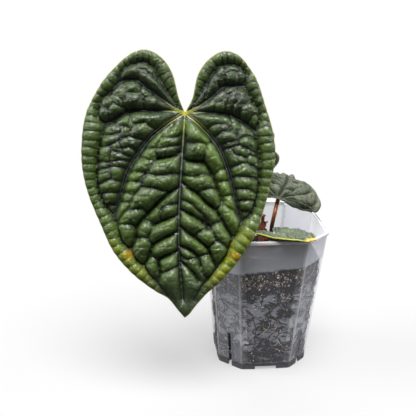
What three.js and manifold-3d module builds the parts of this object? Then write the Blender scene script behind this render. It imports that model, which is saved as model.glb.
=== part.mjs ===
// A young Anthurium luxurians in a square, frosted nursery pot.
//
// Millimetres, +Z up. The origin is the middle of the pot's underside, and the front wall
// of the pot faces -Y. The large blade hangs in front of the pot and to its left, on a
// petiole that rises from the middle of the soil. Three smaller leaves stand behind it.

import * as THREE from 'three';
import { mergeVertices } from 'three/addons/utils/BufferGeometryUtils.js';
import Module from 'manifold-3d';

const wasm = await Module();
wasm.setup();

// Pot: a tapered square with cut corners, across its flats and along each cut.
const POT_HEIGHT = 121;
const RIM_WIDTH = 100;
const RIM_CUT = 19.7;
const BASE_WIDTH = 75;
const BASE_CUT = 16.8;
const WALL = 1.0;
const WALL_BOW = 0.7;
const LIP_HEIGHT = 2.8;
const LIP_OUT = 1.2;
const LIP_ROUNDING = 0.5;
const FLOOR_UNDERSIDE = 3.0;
const FLOOR_TOP = 4.4;
const CENTRE_FOOT_RADIUS = 9;
const SLOT_WIDTH = 3.3;
const SLOT_TOP = 32;
const SLOT_REACH = 9;
const NOTCH_SHARE = 0.44;
const NOTCH_TOP = 2.7;
const NOTCH_REACH = 8;

// Soil: how it stands in the pot, with its highest side to the right.
const SOIL_GAP = 0.35;
const SOIL_LEVEL = 91;
const SOIL_RISE_TO_RIGHT = 5;
const SOIL_RISE_TO_FRONT = 2;
const SOIL_LUMP = 1;

// Stem and roots.
const STEM_TOP = [4, 0, 101];
const STEM_MIDDLE = [2.5, 1, 78];
const STEM_FOOT = [2, 1, 56];
const STEM_RADIUS = 7.5;
const STEM_TAPER = 0.82;
const ROOT_COUNT = 6;
const ROOT_RADIUS = 2.1;
const ROOT_TIP_RADIUS = 1.2;
const ROOT_POINT = 1;
const ROOT_REACH = 25;
const ROOT_DROP = 14;
const HOLE_GAP = 0.4;

// Leaves.
const JOINT_GAP = 0.35;
const FOOT_GAP = 0.8;
const SHEATH_THICKNESS = 0.7;
const SHEATH_LEAN = 1.2;
const SHEATH_TEAR = 5;
const SHEATH_FOOT = 96;

// Swellings of a petiole, as a share of its radius, and where along it they lie.
const KNEE = { swell: 0.35, place: 0.94, spread: 0.05 };
const FLARE = { swell: 0.2, spread: 0.08 };

// Relief of a blade, on the scale of the large one. A vein sinks the upper face round it
// over its reach: most along the main veins, less along the cross veins and the rungs of
// the outer band. The face is level where the petiole meets the blade.
const VEIN_REACH = 4;
const MAIN_DEPTH = 0.75;
const CROSS_DEPTH = 0.9;
const CROSS_REACH = 0.5;
const RUNG_DEPTH = 0.7;
const RUNG_REACH = 0.4;
const LEVEL_REACH = 2.6;
const LINE_STEP = 0.9;
const LARGE_MESH = { pleat: 6.3, step: 4.3, gap: 2.1 };
const SMALL_MESH = { pleat: 4.2, step: 4.0, gap: 2.1 };

const COLOURS = {
  frosted: 0xb9bcbf,
  soil: 0x2c2a2b,
  root: 0xa98d68,
  bladeLarge: 0x2f4a1c,
  bladeSmall: 0x4d5a48,
  petioleLarge: 0x5b5a2c,
  petioleSmall: 0x5a3a1c,
  cataphyll: 0x7a3b22,
};

// The leaf's drawing, on the scale of the large blade. Every line is a run of u, v pairs:
// u across, to the right, and v along the midrib, from 0 where the petiole meets the
// blade down to the tip at -156.6. The two lobes stand above v = 0.
const TIP = [2.6, -156.6];

const MARGIN = {
  left: [
    0.7, 0, -3.9, 10.7, -9.6, 30, -18, 41.4, -30, 46.8, -42, 42.6, -55, 30.7, -66.4, 15,
    -73.9, -1.4, -76.9, -22, -76.6, -42, -72, -62, -63.1, -83, -51.7, -106.6, -36, -124,
    -20.3, -135.9, -9.6, -142.3, -3.1, -150.1, ...TIP,
  ],
  right: [
    0.7, 0, 5.9, 10, 10.5, 29.3, 18.7, 40.7, 30.1, 46.8, 41, 43.6, 53.4, 28.6, 61, 9,
    67.3, -11.4, 70, -31, 67.3, -50, 62.1, -72.3, 54.6, -93.7, 43, -112, 29.6, -128,
    19.6, -137.3, 11, -147.3, 6.2, -153.4, ...TIP,
  ],
};

// The vein that runs round inside the margin and closes the outer band of pleats.
const COLLECTIVE = {
  left: [
    0.7, 0, -9.6, 10.7, -15.4, 19.3, -22.9, 32.9, -30, 37.5, -38, 36.3, -44.3, 33.4,
    -48.5, 28.6, -50, 23.5, -55.3, 15.6, -62.1, 10, -64.6, 3.6, -65.5, -3.2, -60.2, -9.6,
    -62.4, -19, -64.6, -30.7, -65.4, -40.7, -65.3, -54.4, -61, -68, -53.1, -78.7,
    -48.6, -90, -45.6, -98.7, -39.6, -104.4, -35.3, -111.6, -29.2, -116.9, -23.1, -125.1,
    -16, -133, -9.5, -140.6,
  ],
  right: [
    0.7, 0, 8, 7.1, 14.4, 18.6, 20.1, 27.9, 24.5, 34.6, 31, 37, 39, 36.6, 45, 33,
    47.6, 28.6, 45.4, 21.4, 50, 14.6, 53, 8.6, 57, 3.5, 57.6, -3, 55.1, -13.6, 56.8, -24,
    58, -33.6, 58.5, -43, 57.5, -55, 55.6, -67.3, 51.7, -76.6, 45.3, -82.4, 41.7, -90.9,
    37, -98, 33.9, -107.3, 26.7, -117.6, 20.3, -125.9, 14.6, -133.7, 9.3, -144,
  ],
};

// The midrib, the basal veins and the laterals.
const MAIN_VEINS = [
  [0.7, 0, 0, -14, -1.1, -36, -2.4, -62, -2.9, -84, -2.2, -110, -0.6, -127, 1, -144],
  [0.7, 0, -8.6, 4.3, -19.3, 12.1, -28.6, 18.9, -36.4, 23.9, -45, 23.8, -50, 21, -54, 17.2],
  [0.7, 0, -10, 0.9, -26, 1.1, -41, 0.4, -48, -3, -55, -7.9, -60.2, -9.6],
  [0.7, 0, -8.6, -5.7, -20, -14.3, -27.9, -22.1, -33.6, -30.7, -39.3, -39.3, -43.5, -48.6,
    -46.7, -60.1, -49.5, -70, -52, -79.6],
  [-1.1, -29.5, -5.7, -31.8, -12, -33.8, -19.3, -35],
  [-2.4, -56.2, -9.6, -59.8, -16, -65.5, -26, -75.9, -34.6, -86.6, -35.3, -94.4, -39.2, -104],
  [-2.9, -77.2, -11, -80.1, -21.7, -84.8],
  [-2.8, -90, -11.7, -93.7, -22.4, -100.9, -25, -108, -29.2, -116.9],
  [-2.3, -104.4, -10, -107.4, -17.5, -112, -16.8, -122, -19, -129.6],
  [0.7, 0, 7.3, 2.9, 16.6, 8.6, 24.4, 15.7, 30.9, 20.4, 38, 21.1, 45.3, 20.6],
  [0.7, 0, 15.9, 0.4, 28.7, -0.4, 38, -2.5, 46, -7, 55.1, -13.6],
  [0.7, 0, 10.1, -7.1, 22.3, -19.6, 28.2, -28.5, 33.4, -40.7, 38.1, -55.9, 42.1, -71.6,
    45.3, -82.4],
  [-0.9, -35.2, 8.7, -36.8, 15.4, -37.3, 20.9, -44.3, 23, -48.5, 26.7, -58, 30.1, -68],
  [-2, -52, 5.3, -57.3, 10.3, -60.1, 17.4, -67.3, 24.8, -73, 31, -82.3, 38.7, -95],
  [-2.7, -72.6, 6.7, -76.9, 15.3, -82.3, 20.6, -86.9],
  [-2.9, -85.2, 3.9, -90.1, 14.6, -98, 19.5, -102.3, 22.1, -108, 26.7, -117.6],
  [-2.5, -100.7, 6, -103.7, 12.4, -109.4, 14.2, -116],
  [-2.2, -112.4, 5.3, -118, 10, -123, 13.1, -128],
];

// The veins between them, which part the fields into the raised cells.
const CROSS_VEINS = [
  [-43.5, -1, -44.3, 4.3, -46.4, 7.9, -49.3, 11.1, -52.9, 12.9, -57.5, 13.2],
  [-27.1, -21.4, -34.3, -20.4, -42, -19.5, -51.4, -23.6, -57, -26.2, -63.8, -26.4],
  [-36.4, -35.4, -45.7, -31.4, -53.6, -29.3, -56, -26.4],
  [-41.1, -43.2, -50, -41.8, -57, -42.8, -65.4, -44.6],
  [-45.3, -53.4, -54.6, -51.2, -61.7, -54.2, -65.3, -54.8],
  [-47.1, -60.9, -56.7, -61.2, -62.8, -63.4],
  [-49.8, -70.6, -54.5, -70, -59, -71.4],
  [-7, -8.5, -13, -15.5, -19.3, -24.3, -21.2, -29, -19.3, -35, -22.9, -39.3, -27, -46.4,
    -29.6, -50.1, -30.8, -56, -36.7, -63.2, -39.9, -71.6, -44.6, -77.3, -50, -84.5],
  [-21, -28, -26, -27.5, -31.5, -27.6],
  [-21, -36.6, -28, -35.7, -35, -33.3],
  [-27, -46, -33, -45, -41.8, -45.5],
  [-31, -53, -38, -52.4, -44.8, -53],
  [-46.9, -61, -41.7, -60.9, -36.9, -63.2],
  [-48.8, -67, -43, -68.2, -39, -68],
  [-9.6, -59.8, -14.6, -59.2, -20, -57.2, -26, -57, -30.8, -56.5],
  [-26, -75.9, -30.5, -72.5, -36, -73.2, -40.5, -74],
  [-34.6, -86.6, -41, -84.4, -45, -85, -50.3, -84.8],
  [-21.7, -84.8, -25.5, -82.4, -30.3, -81],
  [-21.7, -84.8, -23.6, -89, -25.4, -94.8, -22.4, -100.9],
  [-25.4, -94.8, -31, -94.6, -35.3, -95],
  [-17.5, -112, -20.5, -110, -25.2, -108.5],
  [-2.1, -115.6, -8, -118.5, -13.1, -120.9, -16.9, -121.5],
  [-0.5, -16, -8, -19.5, -15.5, -19],
  [-1, -24, -8, -25.5, -14, -26.5, -21, -28],
  [-1.8, -46, -10, -46.5, -18, -47.5, -27, -46.4],
  [-2.6, -68.5, -9, -69.5, -15.5, -72, -16.5, -77, -16.8, -82.4],
  [-41.2, 0.2, -39, -7.5, -37.5, -10.5, -39, -13.5, -40.5, -19.6],
  [-14.3, -10, -21.4, -13, -25.5, -10.5, -30, -8.3, -37.5, -10.5],
  [-53, -6.6, -49.5, -11.8, -47, -14.5, -47.9, -21.6],
  [-49.5, -11.8, -45, -11, -39, -13.5],
  [-62, -17, -56, -18, -51, -17, -47.3, -16],
  [-53.6, -29.3, -55, -34, -54.6, -42.4],
  [-65.2, -37.5, -55, -38, -46, -36.5, -38.4, -38],
  [-47.3, -22, -46, -31.3],
  [-45.9, -28, -40, -26.8, -34, -31.2],
  [-55.5, -42.6, -53.8, -47, -54.2, -51.2],
  [-46.2, 23.6, -45.7, 18, -44.5, 14.5, -44, 9, -46, 7.4],
  [-44.5, 14.5, -38, 13.2, -33, 14.5, -32, 21],
  [-33, 14.5, -30.5, 10, -30, 4, -29.5, 1.1],
  [-30.5, 10, -24.5, 11.5, -22, 14],
  [-37, 36.6, -35, 30, -34.6, 22.9],
  [-35, 30.5, -31, 31.5, -27, 28.5, -22, 24, -17.5, 22.8],
  [-57.5, 13, -53.5, 7.5, -55, 4, -57, 0, -56.5, -5, -58.6, -9],
  [-64.6, 3, -60, 3, -55.8, 2],
  [-53.5, 7.5, -49, 4, -44.2, 3],
  [30.5, 36.8, 31, 28.5, 30.2, 20],
  [31, 29, 36, 31, 40.2, 29.5, 41, 21],
  [40.2, 29.5, 43.2, 34],
  [23.2, 32.8, 24.5, 27, 26.5, 17.3],
  [18.5, 25.4, 17.5, 19, 14.5, 7.6],
  [20.6, 12.5, 22.3, 7.5, 23, 0.2],
  [22.3, 7.5, 28, 8.6, 30, 13.5, 30.5, 20],
  [30, 13.5, 35, 14.5, 38.5, 17, 41.5, 20.8],
  [35, 14.5, 32.5, 8, 31, 3, 31, -0.8],
  [38.5, 17, 39.5, 10, 36, 3, 37.5, -2.3],
  [43, -5, 42, 0, 43.5, 5, 47, 8, 53, 8.6],
  [57.6, -1.5, 52, -1, 49.5, -5, 48.5, -8.8],
  [17, -14.4, 20.5, -9.8, 28, -8.5, 33, -9.8, 35, -13.8],
  [21.9, -18.9, 29.4, -14.5, 35, -13.8, 39, -17, 40.8, -21.5, 40.9, -24.3],
  [35, -13.8, 36.5, -8.5, 34.5, -1.8],
  [39, -17, 43, -12, 41.5, -4.4],
  [40.8, -20.5, 47.3, -17.3, 52, -18.8, 56.3, -20],
  [28.4, -28.2, 32.3, -27.1, 40.9, -24.3, 44.4, -25.4, 52.3, -28.6, 57.6, -30],
  [26.3, -25.5, 33, -22, 40.8, -20.8],
  [36.8, -26, 38, -30.5, 46.5, -33.5, 48, -37.6],
  [46.5, -33.5, 50, -31.5, 57.9, -33],
  [33.7, -41.4, 40.1, -39.3, 45.5, -37.6, 50.9, -39.3, 58.4, -43.6],
  [36.3, -49, 40.9, -47.5, 48, -47.9, 58.2, -49.8],
  [38.4, -57.3, 47.4, -56.9, 52, -58.7, 57.2, -60.1],
  [40.6, -66.2, 51.7, -65.5, 55.7, -66.9],
  [42.8, -74.4, 50.3, -74.1, 52.7, -75.4],
  [22.3, -20.5, 18, -25, 16.4, -29, 15.6, -33.5, 15.4, -37.3],
  [30.1, -68, 33.1, -70.9, 37.4, -73, 42, -77, 45, -81],
  [23, -47, 27.5, -43, 33.6, -41],
  [25, -53, 30, -51.5, 36.6, -51],
  [28.6, -63.2, 34.5, -62.2, 39.6, -62],
  [30.1, -68, 27.5, -70.8, 25, -73],
  [10.3, -60.1, 15, -57.8, 20, -56.8, 26.4, -57.2],
  [-1.8, -46.5, 8, -48, 16, -46.5, 22, -46.8],
  [-0.4, -22, 6, -23.5, 12, -22.5, 17.8, -25],
  [-2.5, -65.2, 5.5, -68, 13, -74.5, 18.5, -80.5, 20.6, -86.9],
  [20.6, -86.9, 23.5, -83.8, 27, -82.2, 30.7, -82],
  [20.6, -86.9, 24, -91, 25.4, -95.5, 22.7, -98.8, 19.5, -102.3],
  [25.4, -95.5, 30, -98.2, 35.2, -103],
  [11, -95.3, 10.6, -91, 14.6, -88.7, 20.6, -86.9],
  [12.4, -109.4, 16, -107.6, 21.6, -106.4],
  [-2.3, -107.5, 4, -110.6, 12.4, -109.4],
  [14.2, -116, 16.5, -122, 19.5, -126.5],
];

// One entry a leaf. "attach" is where the petiole meets the blade, "tipward" the way the
// midrib leaves it and "face" the way the upper side looks. "scale" and "width" fit the
// drawing to the leaf, and "lobe" shortens its two lobes. "droop" bends the blade along the
// midrib, and "arch" its left and its right half across it, in radians a millimetre. "groove"
// is the depth of its sunken veins.
const LARGE_LEAF = {
  name: 'blade_large',
  colour: COLOURS.bladeLarge,
  attach: [-73.06, -40, 223.66],
  tipward: [-0.0265, -0.301, -0.9533],
  face: [-0.0835, -0.9496, 0.3021],
  scale: 1.012,
  width: 1,
  lobe: 1,
  droop: 1 / 1500,
  arch: [1 / 600, 1 / 600],
  thickness: 1.1,
  groove: 2.2,
  crossVeins: true,
  mesh: LARGE_MESH,
};
const RIGHT_LEAF = {
  name: 'blade_right',
  colour: COLOURS.bladeSmall,
  attach: [12.4, 0.5, 142.8],
  tipward: [0.3842, 0.8401, 0.3828],
  face: [0.0838, -0.4447, 0.8918],
  scale: 0.322,
  width: 1.471,
  lobe: 0.356,
  droop: 1 / 89,
  arch: [1 / 150, 1 / 62],
  thickness: 0.8,
  groove: 1.1,
  crossVeins: false,
  mesh: SMALL_MESH,
};
const FRONT_LEAF = {
  name: 'blade_front',
  colour: COLOURS.bladeSmall,
  attach: [5.8, -23.6, 119.85],
  tipward: [0.6134, -0.7872, 0.0631],
  face: [-0.0168, 0.118, 0.9929],
  scale: 0.266,
  width: 1.234,
  lobe: 0.824,
  droop: -1 / 310,
  arch: [-1 / 94, 1 / 294],
  thickness: 0.8,
  groove: 0.5,
  crossVeins: false,
  mesh: SMALL_MESH,
};
const REAR_LEAF = {
  name: 'blade_rear',
  colour: COLOURS.bladeSmall,
  attach: [-0.3, 20.0, 179.6],
  tipward: [-0.9, 0.2, -0.3],
  face: [-0.356, -0.729, 0.585],
  scale: 0.27,
  width: 1.3,
  lobe: 1,
  droop: 1 / 90,
  arch: [1 / 70, 1 / 70],
  thickness: 0.8,
  groove: 0.8,
  crossVeins: false,
  mesh: SMALL_MESH,
};

// Geometry helpers.

// A closed body from its corners and triangles.
function bodyFrom(corners, triangles) {
  const geometry = new THREE.BufferGeometry();
  geometry.setAttribute('position', new THREE.Float32BufferAttribute(corners.flat(), 3));
  geometry.setIndex(triangles.flat());
  return geometry;
}

// A body lofted through rings of corners, each ring anticlockwise seen from the way the
// loft goes, and closed by a fan at each end. "tip" moves the middle of the last fan.
function loft(rings, tip = [0, 0, 0]) {
  const count = rings[0].length;
  const corners = rings.flat();
  const triangles = [];
  for (let ring = 0; ring + 1 < rings.length; ring += 1) {
    for (let side = 0; side < count; side += 1) {
      const a = ring * count + side;
      const b = ring * count + ((side + 1) % count);
      triangles.push([a, b, b + count], [a, b + count, a + count]);
    }
  }
  for (const [ring, turned] of [[0, true], [rings.length - 1, false]]) {
    const hub = corners.length;
    corners.push(middleOf(rings[ring]).map((value, axis) => value + (turned ? 0 : tip[axis])));
    for (let side = 0; side < count; side += 1) {
      const a = ring * count + side;
      const b = ring * count + ((side + 1) % count);
      triangles.push(turned ? [b, a, hub] : [a, b, hub]);
    }
  }
  return bodyFrom(corners, triangles);
}

function middleOf(ring) {
  return [0, 1, 2].map((axis) => ring.reduce((sum, corner) => sum + corner[axis], 0) / ring.length);
}

// A tube along a smooth curve. "radiusAt" gives its radius from 0 at its start to 1 at its
// end, which stands out in the middle by "point".
function tube(route, radiusAt, steps, sides, point = 0) {
  const curve = new THREE.CatmullRomCurve3(
    route.map((point) => new THREE.Vector3(...point)), false, 'centripetal');
  const frames = curve.computeFrenetFrames(steps, false);
  const rings = [];
  for (let step = 0; step <= steps; step += 1) {
    const middle = curve.getPointAt(step / steps);
    const radius = radiusAt(step / steps);
    const ring = [];
    for (let side = 0; side < sides; side += 1) {
      const turn = (side / sides) * 2 * Math.PI;
      ring.push(middle.clone()
        .addScaledVector(frames.normals[step], radius * Math.cos(turn))
        .addScaledVector(frames.binormals[step], radius * Math.sin(turn))
        .toArray());
    }
    rings.push(ring);
  }
  return loft(rings, frames.tangents[steps].clone().multiplyScalar(point).toArray());
}

function solidOf(geometry) {
  const bare = geometry.clone();
  bare.deleteAttribute('normal');
  bare.deleteAttribute('uv');
  const merged = mergeVertices(bare, 1e-4);
  return new wasm.Manifold(new wasm.Mesh({
    numProp: 3,
    vertProperties: new Float32Array(merged.attributes.position.array),
    triVerts: new Uint32Array(merged.index.array),
  }));
}

function geometryOf(solid) {
  const mesh = solid.getMesh();
  const geometry = new THREE.BufferGeometry();
  geometry.setAttribute('position', new THREE.BufferAttribute(mesh.vertProperties, 3));
  geometry.setIndex(new THREE.BufferAttribute(mesh.triVerts, 1));
  return geometry;
}

function meshOf(name, geometry, colour, roughness) {
  const material = new THREE.MeshStandardMaterial({ color: colour, roughness, metalness: 0 });
  const mesh = new THREE.Mesh(geometry, material);
  mesh.name = name;
  return mesh;
}

// Pot.

// The square with cut corners at a height, moved inwards by an inset, as corners in
// anticlockwise order. Each wide side bows outwards a little between its two ends.
function potRing(z, inset) {
  const share = z / POT_HEIGHT;
  const half = THREE.MathUtils.lerp(BASE_WIDTH, RIM_WIDTH - 2 * LIP_OUT, share) / 2 - inset;
  const cut = THREE.MathUtils.lerp(BASE_CUT, RIM_CUT, share) - inset * (2 - Math.SQRT2);
  const flat = half - cut;
  const along = [-1, -0.5, 0, 0.5, 1];
  const ring = [];
  for (let quarter = 0; quarter < 4; quarter += 1) {
    const turn = (quarter * Math.PI) / 2;
    for (const place of along) {
      const out = half + WALL_BOW * (1 - place * place);
      const x = flat * place;
      ring.push([
        x * Math.cos(turn) + out * Math.sin(turn),
        x * Math.sin(turn) - out * Math.cos(turn),
        z,
      ]);
    }
  }
  return ring;
}

function makePot() {
  const lipFoot = POT_HEIGHT - LIP_HEIGHT;
  const shell = solidOf(loft([
    atHeight(potRing(0, WALL), FLOOR_UNDERSIDE),
    potRing(0, WALL),
    potRing(0, 0),
    potRing(lipFoot - LIP_ROUNDING, 0),
    potRing(lipFoot, -LIP_OUT),
    potRing(POT_HEIGHT - LIP_ROUNDING, -LIP_OUT),
    potRing(POT_HEIGHT, LIP_ROUNDING - LIP_OUT),
    potRing(POT_HEIGHT, WALL - LIP_ROUNDING),
    potRing(POT_HEIGHT - LIP_ROUNDING, WALL),
    potRing(FLOOR_TOP, WALL),
  ]));
  const footHeight = (FLOOR_UNDERSIDE + FLOOR_TOP) / 2;
  const foot = new THREE.CylinderGeometry(CENTRE_FOOT_RADIUS, CENTRE_FOOT_RADIUS, footHeight, 20);
  foot.rotateX(Math.PI / 2).translate(0, 0, footHeight / 2);
  let pot = shell.add(solidOf(foot));
  for (let corner = 0; corner < 4; corner += 1) {
    pot = pot.subtract(solidOf(drainSlot(corner)));
    pot = pot.subtract(solidOf(sideNotch(corner)));
  }
  return meshOf('pot', geometryOf(pot), COLOURS.frosted, 0.45);
}

function atHeight(ring, z) {
  return ring.map(([x, y]) => [x, y, z]);
}

// A narrow slot with a round top, open at the pot's foot, in the middle of a cut corner.
function drainSlot(corner) {
  const half = SLOT_WIDTH / 2;
  const shape = new THREE.Shape();
  shape.moveTo(-half, -1);
  shape.lineTo(half, -1);
  shape.lineTo(half, SLOT_TOP - half);
  shape.absarc(0, SLOT_TOP - half, half, 0, Math.PI, false);
  shape.closePath();
  const settings = { depth: SLOT_REACH, bevelEnabled: false, curveSegments: 6 };
  const slot = new THREE.ExtrudeGeometry(shape, settings);
  slot.rotateX(Math.PI / 2).translate(0, SLOT_REACH / 3 - (BASE_WIDTH - BASE_CUT) / Math.SQRT2, 0);
  return slot.rotateZ((corner * Math.PI) / 2 + Math.PI / 4);
}

// A shallow opening under the middle of a wide wall, which leaves the four corners as feet.
function sideNotch(quarter) {
  const width = (BASE_WIDTH - 2 * BASE_CUT) * NOTCH_SHARE;
  const notch = new THREE.BoxGeometry(width, NOTCH_REACH, 2 * NOTCH_TOP);
  notch.translate(0, -BASE_WIDTH / 2, 0);
  return notch.rotateZ((quarter * Math.PI) / 2);
}

// Stem with its roots, and the soil round them.

// A root leaves the stem outwards and turns down towards its tip.
function rootRoute(index) {
  const turn = (index / ROOT_COUNT) * 2 * Math.PI + 0.4;
  const drop = ROOT_DROP * (1 + 0.64 * (index % 3));
  const reach = ROOT_REACH * (1 + 0.12 * (index % 2));
  const start = THREE.MathUtils.lerp(STEM_FOOT[2] + 6, STEM_MIDDLE[2] + 1, (index % 3) / 2);
  const away = (share) => [
    STEM_FOOT[0] + reach * share * Math.cos(turn + 0.5 * share),
    STEM_FOOT[1] + reach * share * Math.sin(turn + 0.5 * share),
  ];
  return [
    [...away(0), start],
    [...away(0.45), start - drop * 0.2],
    [...away(0.85), start - drop * 0.7],
    [...away(1), start - drop * 1.6],
  ];
}

// The stem with its roots, or, with a swell, the hole that they stand in.
function stemWithRoots(swell) {
  const [x, y, z] = STEM_FOOT;
  const stem = tube([[x, y, z - swell], STEM_MIDDLE, STEM_TOP],
    (share) => STEM_RADIUS * THREE.MathUtils.lerp(1, STEM_TAPER, share) + swell, 8, 14);
  let plant = solidOf(stem);
  for (let index = 0; index < ROOT_COUNT; index += 1) {
    const radiusAt = (share) => THREE.MathUtils.lerp(ROOT_RADIUS, ROOT_TIP_RADIUS, share) + swell;
    plant = plant.add(solidOf(tube(rootRoute(index), radiusAt, 9, 6, ROOT_POINT + 5 * swell)));
  }
  return plant;
}

function soilHeight(x, y) {
  const lumps = Math.sin(x * 0.31 + 1.2) * Math.cos(y * 0.27 + 0.5)
    + 0.7 * Math.sin(x * 0.63 - y * 0.55) + 0.5 * Math.cos(x * 0.9 + y * 0.8 + 2);
  const half = RIM_WIDTH / 2;
  return SOIL_LEVEL + (SOIL_RISE_TO_RIGHT * x) / half - (SOIL_RISE_TO_FRONT * y) / half
    + SOIL_LUMP * lumps;
}

function makeSoil() {
  const wallRing = potRing(SOIL_LEVEL, WALL + SOIL_GAP);
  const surface = [1, 0.88, 0.74, 0.58, 0.4, 0.2].map((share) => wallRing.map(([x, y]) => {
    const z = soilHeight(x * share, y * share);
    const widen = share === 1 ? ringScale(z, wallRing) : 1;
    return [x * share * widen, y * share * widen, z];
  }));
  const body = loft([potRing(FLOOR_TOP + 0.3, WALL + SOIL_GAP), potRing(40, WALL + SOIL_GAP), ...surface]);
  const sunk = stemWithRoots(HOLE_GAP);
  const collar = STEM_RADIUS + HOLE_GAP;
  const shaft = new THREE.CylinderGeometry(collar, collar, 2 * (STEM_TOP[2] - STEM_MIDDLE[2]), 14);
  shaft.rotateX(Math.PI / 2).translate((STEM_TOP[0] + STEM_MIDDLE[0]) / 2, 0, STEM_TOP[2]);
  const soil = solidOf(body).subtract(sunk).subtract(solidOf(shaft));
  return meshOf('growing_medium', geometryOf(soil), COLOURS.soil, 0.95);
}

// How much wider the pot is at a height than at the mean soil level.
function ringScale(z, wallRing) {
  return potRing(z, WALL + SOIL_GAP)[2][1] / wallRing[2][1];
}

// Leaf blades.

function pairs(line) {
  const points = [];
  for (let index = 0; index < line.length; index += 2) {
    points.push(new THREE.Vector3(line[index], line[index + 1], 0));
  }
  return points;
}

function spaced(line, gap) {
  const curve = new THREE.CatmullRomCurve3(pairs(line), false, 'centripetal');
  return curve.getSpacedPoints(Math.max(1, Math.round(curve.getLength() / gap))).map(({ x, y }) => [x, y]);
}

function evenly(line, count) {
  const curve = new THREE.CatmullRomCurve3(pairs(line), false, 'centripetal');
  return curve.getSpacedPoints(count).map(({ x, y }) => [x, y]);
}

// Delaunay triangles of a set of points, which are added one at a time.
function triangulate(points) {
  const far = 1e4;
  const all = [...points, [-far, -far], [far, -far], [0, far]];
  let triangles = [circled(all, points.length, points.length + 1, points.length + 2)];
  points.forEach(([x, y], index) => {
    const rim = new Map();
    triangles = triangles.filter((triangle) => {
      if ((x - triangle.x) ** 2 + (y - triangle.y) ** 2 > triangle.reach) {
        return true;
      }
      const [a, b, c] = triangle.corners;
      for (const [from, to] of [[a, b], [b, c], [c, a]]) {
        if (!rim.delete(`${to},${from}`)) {
          rim.set(`${from},${to}`, [from, to]);
        }
      }
      return false;
    });
    for (const [from, to] of rim.values()) {
      triangles.push(circled(all, from, to, index));
    }
  });
  return triangles.map(({ corners }) => corners)
    .filter((corners) => corners.every((corner) => corner < points.length));
}

// A triangle with the middle and squared radius of the circle through its corners.
function circled(points, a, b, c) {
  const [ax, ay] = points[a];
  const [bx, by] = [points[b][0] - ax, points[b][1] - ay];
  const [cx, cy] = [points[c][0] - ax, points[c][1] - ay];
  const twice = 2 * (bx * cy - by * cx);
  const b2 = bx * bx + by * by;
  const c2 = cx * cx + cy * cy;
  const x = (cy * b2 - by * c2) / twice;
  const y = (bx * c2 - cx * b2) / twice;
  return { corners: [a, b, c], x: ax + x, y: ay + y, reach: x * x + y * y };
}

function isInside([x, y], outline) {
  let inside = false;
  for (let index = 0; index < outline.length; index += 1) {
    const [ax, ay] = outline[index];
    const [bx, by] = outline[(index + 1) % outline.length];
    if (ay > y !== by > y && x < ax + ((bx - ax) * (y - ay)) / (by - ay)) {
      inside = !inside;
    }
  }
  return inside;
}

function nearest([x, y], points) {
  let best = Infinity;
  for (const [px, py] of points) {
    best = Math.min(best, (x - px) ** 2 + (y - py) ** 2);
  }
  return Math.sqrt(best);
}

// The lines of one leaf's drawing at its own scale, and the rungs of its outer band.
function leafDrawing(leaf) {
  const fit = (line) => line.map((value, index) => {
    const across = index % 2 === 0;
    return value * leaf.scale * (across ? leaf.width : 1) * (!across && value > 0 ? leaf.lobe : 1);
  });
  const sides = ['left', 'right'].map((side) => {
    const margin = fit(MARGIN[side]);
    const inner = fit(COLLECTIVE[side]);
    const length = new THREE.CatmullRomCurve3(pairs(margin), false, 'centripetal').getLength();
    const pleats = Math.round(length / leaf.mesh.pleat);
    const edge = evenly(margin, pleats * 2);
    const foot = evenly(inner, pleats * 2);
    const rungs = [];
    for (let index = 3; index < edge.length - 3; index += 2) {
      rungs.push([...foot[index], ...edge[index]]);
    }
    return { edge, foot, rungs, collective: inner };
  });
  const [left, right] = sides;
  return {
    outline: [...left.edge, ...right.edge.slice(1, -1).reverse()],
    collectives: [left.collective, right.collective],
    rungs: [...left.rungs, ...right.rungs],
    mains: MAIN_VEINS.map(fit),
    crosses: leaf.crossVeins ? CROSS_VEINS.map(fit) : [],
    sides,
  };
}

// How far the upper face lies below the tops of its cells.
function grooveDepth(point, leaf, lines) {
  const reach = VEIN_REACH * Math.sqrt(leaf.scale);
  const main = nearest(point, lines.mains);
  const any = Math.min(main, nearest(point, lines.crosses));
  const rung = nearest(point, lines.rungs);
  const relief = 1 - Math.exp(-((Math.hypot(...point) / (LEVEL_REACH * reach)) ** 2));
  return relief * leaf.groove * (MAIN_DEPTH * Math.exp(-main / reach)
    + CROSS_DEPTH * Math.exp(-any / (CROSS_REACH * reach))
    + RUNG_DEPTH * Math.exp(-rung / (RUNG_REACH * reach)));
}

// A place on the blade, h above the tops of its cells, in the object's frame.
function placeOnBlade(leaf, u, v, h) {
  const back = new THREE.Vector3(...leaf.tipward).normalize().negate();
  const face = new THREE.Vector3(...leaf.face);
  face.addScaledVector(back, -face.dot(back)).normalize();
  const side = back.clone().cross(face);
  const arch = leaf.arch[u < 0 ? 0 : 1];
  const along = v * leaf.droop;
  const across = u * arch;
  const normal = face.clone().multiplyScalar(Math.cos(along)).addScaledVector(back, Math.sin(along));
  const place = new THREE.Vector3(...leaf.attach)
    .addScaledVector(back, Math.sin(along) / leaf.droop)
    .addScaledVector(face, -(1 - Math.cos(along)) / leaf.droop)
    .addScaledVector(side, Math.sin(across) / arch)
    .addScaledVector(normal, -(1 - Math.cos(across)) / arch);
  const upward = normal.clone().multiplyScalar(Math.cos(across)).addScaledVector(side, Math.sin(across));
  return place.addScaledVector(upward, h).toArray();
}

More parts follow.
